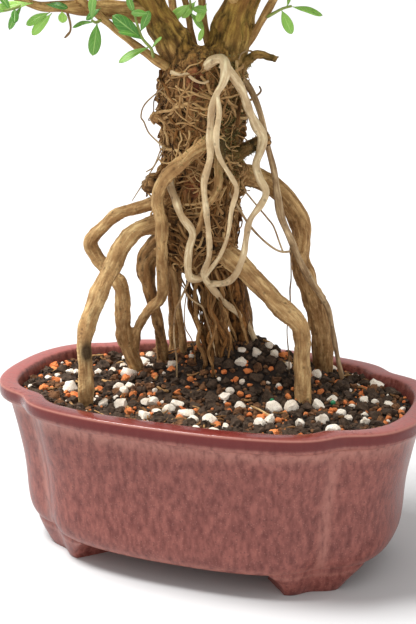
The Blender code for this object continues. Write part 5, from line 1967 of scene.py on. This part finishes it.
@dataclass(frozen=True)
class LeafShape:
    """The shape of a leaf: a pointed ellipse, folded along its midrib and arched."""

    rows: int = 9
    columns: int = 6
    thickness: float = 0.00028

    def template(self) -> tuple[np.ndarray, np.ndarray, Faces]:
        """Points of the upper and lower side of a leaf.

        Returns:
            Share along and across of each point, which side it is on, and the faces.
        """
        along = np.linspace(0, 1, self.rows + 1)
        across = np.linspace(-1, 1, self.columns + 1)
        grid = np.array([(a, c) for a in along for c in across])
        width = self.columns + 1
        border = [
            i for i in range(len(grid))
            if i // width in (0, self.rows) or i % width in (0, self.columns)
        ]
        lower = {i: i for i in border}
        extra = [i for i in range(len(grid)) if i not in lower]
        for number, i in enumerate(extra):
            lower[i] = len(grid) + number
        both = np.concatenate([grid, grid[extra]])
        under = np.concatenate([np.zeros(len(grid)), np.ones(len(extra))])
        top = grid_faces(self.rows + 1, width, closed=False)
        bottom = [tuple(lower[i] for i in reversed(face)) for face in top]
        return both, under, [*top, *bottom]

    def place(
        self, draft: Draft, template: tuple, base: np.ndarray, tip: np.ndarray, roll: float,
        width: float, arch: float, tint: float, facing: Sequence[float] = (0.0, 0.0, 1.0),
    ) -> None:
        """Draw one leaf.

        Args:
            draft: The draft that takes the leaf.
            template: What template() returned.
            base: Where the leaf leaves its stem.
            tip: Its tip.
            roll: Turn about its own length.
            width: Its full width.
            arch: How far its middle rises, as a share of its length.
            tint: Its green, from deep at 0 to a paler green at 1, partly painted backlight.
            facing: The way that its upper side looks before the roll.
        """
        shares, under, faces = template
        length = np.linalg.norm(tip - base)
        along = (tip - base) / length
        side = np.cross(along, facing)
        if np.linalg.norm(side) < 0.1:
            side = np.cross(along, (0.0, 1.0, 0.0))
        side = side / np.linalg.norm(side)
        side = side * math.cos(roll) + np.cross(side, along) * math.sin(roll)
        up = np.cross(side, along)
        a, c = shares[:, 0], shares[:, 1]
        blade = np.clip((a - 0.08) / 0.92, 0, 1)
        outline = np.maximum(2.05 * blade**0.9 * (1 - blade) ** 0.62, 0.0) * 0.95
        outline = np.maximum(outline, 0.045 * (1 - a) + 0.012)
        x = c * outline * width / 2
        rise = arch * length * np.sin(math.pi * a) + 0.22 * np.abs(x) - 0.10 * (c**2) * outline * width
        wavy = 0.00012 * np.sin(9 * a + 3 * c) * (np.abs(c) > 0.5)
        z = rise + wavy - under * self.thickness
        points = base + along * (a * length)[:, None] + side * x[:, None] + up * z[:, None]
        draft.add(points, faces, 0, tone=tint, leaf_along=a, leaf_across=c)


@dataclass
class Foliage:
    """Leafy shoots over the frame's own shoots, filled out with smaller leaves."""

    leaf_width: float = 0.46
    leaf_length: tuple[float, float] = (0.0185, 0.0225)
    pairs: tuple[float, float] = (0.45, 0.85)
    twig_length: tuple[float, float] = (0.022, 0.029)
    turns: tuple[float, ...] = (0.0, 0.35, -0.35, 0.7, -0.7, 1.1, -1.1, 1.6, -1.6)
    tip_gap: float = 0.00045
    side_gap: float = 0.0009
    lowest_fill: float = 0.259
    match: float = 0.0004
    forward: tuple[float, float, float] = (0.25, -0.75, 0.6)

    @staticmethod
    def turned(arm: Vector, turn: float) -> Vector:
        """An arm swung about the vertical."""
        cos, sin = math.cos(turn), math.sin(turn)
        return Vector((arm.x * cos - arm.y * sin, arm.x * sin + arm.y * cos, arm.z))

    @staticmethod
    def on_stem(stem: Line, share: float) -> tuple[Vector, Vector]:
        """The place at a share of a stem, and the stem's heading there.

        Args:
            stem: The stem's points.
            share: How far along it, from 0 to 1.

        Returns:
            The place and the heading.
        """
        reach = share * (len(stem) - 1)
        i = min(int(reach), len(stem) - 2)
        return stem[i].lerp(stem[i + 1], reach - i), (stem[i + 1] - stem[i]).normalized()

    def seats(self) -> list[tuple[Vector, float, Vector]]:
        """Where shoots leave the branches.

        Returns:
            For each, the place, the distance kept from it and the heading.
        """
        made = []
        for route in (*BRANCHES.values(), *LIMBS.values()):
            tip, before = Vector(route[-1][:3]) * MM, Vector(route[-2][:3]) * MM
            made.append((tip, self.tip_gap, (tip - before).normalized()))
        for name, indices in SIDE_SHOOTS.items():
            points = [Vector(station[:3]) * MM for station in BRANCHES[name]]
            for rank, index in enumerate(indices):
                along = (points[index + 1] - points[index - 1]).normalized()
                side = along.cross(Vector((0, 0, 1))).normalized() * (-1) ** rank
                heading = (side * 0.9 + along * 0.5 + Vector((0, 0, 0.35))).normalized()
                made.append((points[index], BRANCHES[name][index][3] * MM + self.side_gap, heading))
        return made

    def stem_from(self, seat: tuple[Vector, float, Vector], turn: float, length: float) -> list[Vector]:
        """Points of a twig that bends upwards from its seat.

        Args:
            seat: Place, distance kept from it and heading.
            turn: How far the heading is swung aside.
            length: The twig's length.

        Returns:
            The twig's points.
        """
        origin, clear, heading = seat
        heading = self.turned(heading, turn)
        stem = [origin + heading * clear]
        for _ in range(3):
            heading = (heading + Vector((0, 0, 0.12))).normalized()
            stem.append(stem[-1] + heading * length / 3)
        return stem

    def frames(self, stem: Line, rng: random.Random) -> list[tuple[Vector, Vector]]:
        """Where the frame's leaves leave a twig, drawn in the frame's own order.

        Args:
            stem: The twig's points.
            rng: The source of the seeded draws.

        Returns:
            The place and heading of each leaf.
        """
        made = []
        for pair, share in enumerate(self.pairs):
            point, along = self.on_stem(stem, share)
            side = along.cross(Vector((0, 0, 1))).normalized()
            up = side.cross(along)
            turn = pair * math.pi / 2 + rng.uniform(-0.3, 0.3)
            for half in (0, math.pi):
                out = side * math.cos(turn + half) + up * math.sin(turn + half)
                lean = rng.uniform(0.45, 0.75) + 0.35 * pair
                made.append((point, (out + along * lean).normalized()))
        made.append((stem[-1] - along * 0.0012, along))
        return made

    def crown_shoots(self) -> Iterator[tuple[str, list[Vector], list[tuple]]]:
        """The frame's crown shoots: each twig, and the leaves that its node holds.

        Yields:
            Node name, twig points, and base, tip, roll and width of each leaf.
        """
        rng = random.Random(5)
        for number, seat in enumerate(self.seats(), 1):
            name = f"shoot_{number:02d}"
            tree = node_points(name)
            length = rng.uniform(*self.twig_length)
            options = [self.stem_from(seat, turn, length) for turn in self.turns]
            stem = min(options, key=lambda option: tree.find(option[-1])[2])
            leaves = []
            for point, heading in self.frames(stem, rng):
                size = rng.uniform(*self.leaf_length)
                width = size * (self.leaf_width + rng.uniform(-0.03, 0.05))
                roll = rng.uniform(-0.5, 0.5)
                for turn in self.turns:
                    tip = point + self.turned(heading * size, turn)
                    if tree.find(tip)[2] < self.match:
                        leaves.append((point, tip, roll + turn, width))
                        break
            yield name, stem, leaves

    def low_shoots(self) -> Iterator[tuple[str, list[Vector], list[tuple]]]:
        """The shoots that are seen from the front.

        Yields:
            Node name, twig points, and base, tip, roll and width of each leaf.
        """
        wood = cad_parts["tree_wood"].data
        wood.calc_loop_triangles()
        points = [vert.co.copy() for vert in wood.vertices]
        skin = BVHTree.FromPolygons(points, [tuple(face.vertices) for face in wood.loop_triangles])
        for name, (stem_points, leaf_points) in LOW_SHOOTS.items():
            stem = [Vector(point) * MM for point in stem_points]
            spot = skin.find_nearest(stem[0])[0]
            stem[0] = spot
            leaves = []
            for rank, (share, tip) in enumerate(leaf_points):
                start, end = self.on_stem(stem, share)[0], Vector(tip) * MM
                leaves.append((start, end, 0.4 * (-1) ** rank, (end - start).length * self.leaf_width))
            yield name, stem, leaves

    def fill(self, stem: Line, rng: random.Random) -> Iterator[tuple]:
        """Smaller leaves that fill a crown shoot out.

        Args:
            stem: The twig's points.
            rng: The source of the seeded draws.

        Yields:
            A side twig's points, or None, then base, tip, roll and width of each leaf.
        """
        def pairs(line: Line, shares: Sequence[float], sizes: tuple[float, float]) -> list[tuple]:
            """Crossed pairs of leaves along a line."""
            made = []
            for rank, share in enumerate(shares):
                point, along = self.on_stem(line, share)
                side = along.cross(Vector((0, 0, 1)))
                side = side.normalized() if side.length > 0.1 else Vector((1, 0, 0))
                up = side.cross(along)
                turn = rank * math.pi / 2 + rng.uniform(-0.4, 0.4)
                for half in (0, math.pi):
                    out = side * math.cos(turn + half) + up * math.sin(turn + half)
                    heading = (out + along * rng.uniform(0.4, 1.0)).normalized()
                    size = rng.uniform(*sizes)
                    roll = rng.uniform(-0.6, 0.6)
                    made.append((point, point + heading * size, roll, size * rng.uniform(0.4, 0.5)))
            return made

        yield None, pairs(stem, (0.08, 0.27, 0.62, 0.97), (0.011, 0.016))
        for rank, share in enumerate((0.12, 0.36, 0.62, 0.86)):
            point, along = self.on_stem(stem, share)
            side = along.cross(Vector((0, 0, 1))).normalized() * (-1) ** rank
            heading = (side + along * 0.6 + Vector((0, 0, rng.uniform(-0.2, 0.7)))).normalized()
            line = [point]
            for _ in range(3):
                heading = (heading + Vector((0, 0, 0.15))).normalized()
                line.append(line[-1] + heading * rng.uniform(0.004, 0.0062))
            leaves = pairs(line, (0.35, 0.7, 1.0), (0.009, 0.0145))
            size = rng.uniform(0.009, 0.013)
            leaves.append((line[-1], line[-1] + heading * size, rng.uniform(-0.6, 0.6), size * 0.42))
            yield line, leaves

    def allowed(self, leaf: tuple) -> bool:
        """Whether an added leaf stays in the frame's box and above the photographed part."""
        low, high = CAD_BOX
        base, tip = leaf[0], leaf[1]
        inside = all(low[k] - 0.001 < tip[k] < high[k] + 0.001 for k in range(3))
        return inside and min(base.z, tip.z) > self.lowest_fill

    def build(self, leaf: Material, twig: Material) -> Pieces:
        """Build every shoot.

        Args:
            leaf: Material of the leaves.
            twig: Material of the green twigs.

        Yields:
            Each shoot.
        """
        rng = random.Random(61)
        shape = LeafShape()
        template, low_template = shape.template(), LeafShape(rows=16, columns=10)
        fine = low_template.template()
        for name, stem, leaves in self.low_shoots():
            draft = Draft(f"leaves_{name[6:]}")
            self.draw_twig(draft, stem, 0.75, rng)
            # These two shoots take paler greens, partly the leaves' own and partly painted backlight.
            bright = name in ("shoot_between_stems", "shoot_light_right")
            for base, tip, roll, width in leaves:
                tint = rng.uniform(0.5, 0.9) if bright else rng.uniform(0.0, 0.6)
                spot = (np.array(base), np.array(tip))
                arch = rng.uniform(0.03, 0.07)
                low_template.place(draft, fine, *spot, roll, width * 1.2, arch, tint, self.forward)
            for start, end, share, tint in EXTRA_LEAVES.get(name, ()):
                spot = (SIGHT.across(start) * MM, SIGHT.across(end) * MM)
                width = share * np.linalg.norm(spot[1] - spot[0])
                low_template.place(draft, fine, *spot, 0.2, width, 0.04, tint, self.forward)
            yield self.finish(draft, leaf, twig, name)
        for name, stem, leaves in self.crown_shoots():
            draft = Draft(f"leaves_{name[6:]}")
            self.draw_twig(draft, stem, 0.75, rng)
            for line, added in self.fill(stem, rng):
                kept = [one for one in added if self.allowed(one)]
                if line is not None and kept:
                    self.draw_twig(draft, line, 0.5, rng)
                leaves += kept
            for base, tip, roll, width in leaves:
                spot = (np.array(base), np.array(tip))
                tint = min(1.0, max(0.0, rng.gauss(0.35, 0.22)))
                shape.place(draft, template, *spot, roll, width, rng.uniform(0.02, 0.07), tint)
            yield self.finish(draft, leaf, twig, name)

    @staticmethod
    def draw_twig(draft: Draft, stem: Line, radius: float, rng: random.Random) -> None:
        """Draw a twig that tapers.

        Args:
            draft: The draft that takes the twig.
            stem: The twig's points.
            radius: Its radius at the foot, in millimetres.
            rng: The source of the seeded draws.
        """
        count = len(stem) - 1
        route = tuple(
            (*(point / MM), radius * (1 - 0.35 * k / count)) for k, point in enumerate(stem)
        )
        Stem(stem_line(route, 2.0), 0.5, rng.randrange(9999)).sweep(draft, 6, 0.08, 2, finish=1)
        for key in ("leaf_along", "leaf_across"):
            draft.marks.setdefault(key, []).append(np.zeros(len(draft.blocks[-1])))

    @staticmethod
    def finish(
        draft: Draft, leaf: Material, twig: Material, node: str
    ) -> Thing:
        """Turn a shoot's draft into the piece that stands for its node.

        Args:
            draft: The shoot's draft.
            leaf: Material of the leaves.
            twig: Material of the twigs.
            node: The node's name.

        Returns:
            The piece.
        """
        for key in ("grain_x", "grain_y", "grain_z"):
            missing = draft.count - sum(len(block) for block in draft.marks[key])
            draft.marks[key].append(np.zeros(missing))
        made = piece(draft.mesh(), [leaf, twig], Slot.LEAF)
        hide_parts(node)
        return made


def node_points(name: str) -> KDTree:
    """A search tree of a frame node's points.

    Args:
        name: The node's name.

    Returns:
        The tree.
    """
    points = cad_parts[name].data.vertices
    tree = KDTree(len(points))
    for i, vert in enumerate(points):
        tree.insert(vert.co, i)
    tree.balance()
    return tree


# The studio


@dataclass(frozen=True)
class Studio:
    """Pale floor, soft light and the camera at the photograph's view."""

    sensor: float = 36.0
    clip: tuple[float, float] = (0.01, 100.0)
    backdrop: float = 1.05
    ambient: float = 0.80
    sun: float = 4.5
    sun_angle: float = 20.0
    sun_way: Reading = (0.40, 0.16, -1.0)
    floor_size: float = 40.0
    floor_tone: float = 0.6
    floor_roughness: float = 0.9
    floor_specular: float = 0.1

    def camera(self) -> Thing:
        """The camera, without shift and level.

        Returns:
            The camera.
        """
        data = bpy.data.cameras.new("camera")
        data.lens = round(self.sensor * SIGHT.focal / SIGHT.height, 2)
        data.clip_start, data.clip_end = self.clip
        made = bpy.data.objects.new("camera", data)
        bpy.context.scene.collection.objects.link(made)
        made.location = Vector(SIGHT.eye()) * MM
        made.rotation_euler = Vector(-SIGHT.back()).to_track_quat("-Z", "Y").to_euler()
        bpy.context.scene.camera = made
        return made

    def sunlight(self) -> Thing:
        """One wide soft light from above, a little to the left and behind.

        Returns:
            The light.
        """
        data = bpy.data.lights.new("soft_light", "SUN")
        data.energy, data.angle = self.sun, math.radians(self.sun_angle)
        made = bpy.data.objects.new("soft_light", data)
        bpy.context.scene.collection.objects.link(made)
        made.rotation_euler = Vector(self.sun_way).to_track_quat("-Z", "Y").to_euler()
        return made

    def floor(self) -> Thing:
        """The pale floor under the pot.

        Returns:
            The floor.
        """
        half = self.floor_size / 2
        draft = Draft("floor")
        corners = np.array([(-half, -half, 0), (half, -half, 0), (half, half, 0), (-half, half, 0)])
        draft.add(corners, [(0, 1, 2, 3)])
        made = bpy.data.objects.new("floor", draft.mesh())
        bpy.context.scene.collection.objects.link(made)
        paper = bpy.data.materials.new("floor_paper")
        paper.use_nodes = True
        shader = paper.node_tree.nodes["Principled BSDF"]
        shader.inputs["Base Color"].default_value = (*[self.floor_tone] * 3, 1.0)
        shader.inputs["Roughness"].default_value = self.floor_roughness
        shader.inputs["Specular IOR Level"].default_value = self.floor_specular
        made.data.materials.append(paper)
        made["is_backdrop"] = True
        return made

    def build(self) -> None:
        """Set the stage."""
        scene = bpy.context.scene
        world = bpy.data.worlds.new("studio")
        world.use_nodes = True
        board = Board(world.node_tree)
        seen = board.add("LightPath").outputs["Is Camera Ray"]
        levels = {0: seen, 2: self.ambient, 3: self.backdrop}
        sky = world.node_tree.nodes["Background"]
        sky.inputs["Color"].default_value = (1.0, 1.0, 1.0, 1.0)
        board.join(board.add("Mix", levels).outputs[0], sky.inputs["Strength"])
        scene.world = world
        scene.view_settings.view_transform = "Standard"
        self.camera()
        self.floor()
        self.sunlight()


# Everything together


def write_size() -> None:
    """Gather the frame's box and the visual model's box."""
    boxes = {"cad": CAD_BOX, "visual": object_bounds()}
    plain = {key: [list(corner) for corner in box] for key, box in boxes.items()}


def report(pieces: Pieces | Sequence[Thing]) -> None:
    """Log each piece as it is built."""
    for made in pieces:
        LOG.info("%s: %d faces", made.name, len(made.data.polygons))


def main() -> None:
    """Build the bonsai from the pot up, then the studio."""
    logging.basicConfig(level=logging.INFO, format="%(message)s")
    effects = Effects()
    glaze = Glaze("glaze_red_brown", coat=0.22, coat_roughness=0.1, specular=0.3).material(effects)
    bark = Bark("trunk_bark", roughness=0.85, specular=0.25).material(effects)
    root = Bark(
        "air_root_bark", roughness=0.7, specular=0.25, brown=(186, 142, 94), pale=(255, 238, 196),
        relief=0.0005, mossy=0.2,
    ).material(effects)
    leaf = Blade("serissa_leaf", roughness=0.42, specular=0.45).material(effects)
    twig = Grain("green_twig", low=(120, 140, 60), high=(150, 165, 84), pore=(110, 90, 50)).material(effects)
    moss = Grain("moss_green", low=(96, 88, 40), high=(150, 140, 78), pore=(60, 54, 20)).material(effects)
    bed = Grain("fine_mix", roughness=0.95, low=(24, 18, 14), high=(52, 38, 28)).material(effects)
    black = Grain("screen_plastic", roughness=0.5, low=(16, 16, 17), high=(24, 24, 25)).material(effects)
    bead = Grain(
        "green_bead", roughness=0.4, low=(10, 110, 70), high=(30, 140, 90), pore_share=0.0, bump=0.0001
    ).material(effects)
    chips = {
        Grit.PUMICE: Grain(
            "pumice", roughness=0.9, low=(224, 206, 184), high=(254, 244, 228), pore=(150, 124, 100),
            pore_share=0.55,
        ).material(effects),
        Grit.LAVA: Grain(
            "lava", roughness=0.9, specular=0.2, low=(10, 7, 6), high=(92, 74, 60), cloud=420.0
        ).material(effects),
        Grit.CLAY: Grain(
            "fired_clay", roughness=0.9, low=(196, 92, 40), high=(240, 148, 84), pore=(110, 50, 24),
            pore_share=0.4,
        ).material(effects),
        Grit.EARTH: Grain(
            "earth_chips", roughness=0.95, specular=0.2, low=(44, 27, 18), high=(138, 98, 68),
            pore=(26, 17, 12), cloud=380.0,
        ).material(effects),
    }
    pot = Pot()
    report(pot.build(glaze))
    for name in ("drain_screen_left", "drain_screen_right"):
        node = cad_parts[name]
        node.data.materials.clear()
        node.data.materials.append(black)
    soil = Soil(pot)
    report([soil.bed(bed)])
    report(soil.chips(chips))
    report(soil.litter(bark, bead))
    report(Wood().build(bark, root, moss))
    report(Foliage().build(leaf, twig))
    Studio().build()
    write_size()


if __name__ == "__main__":
    main()
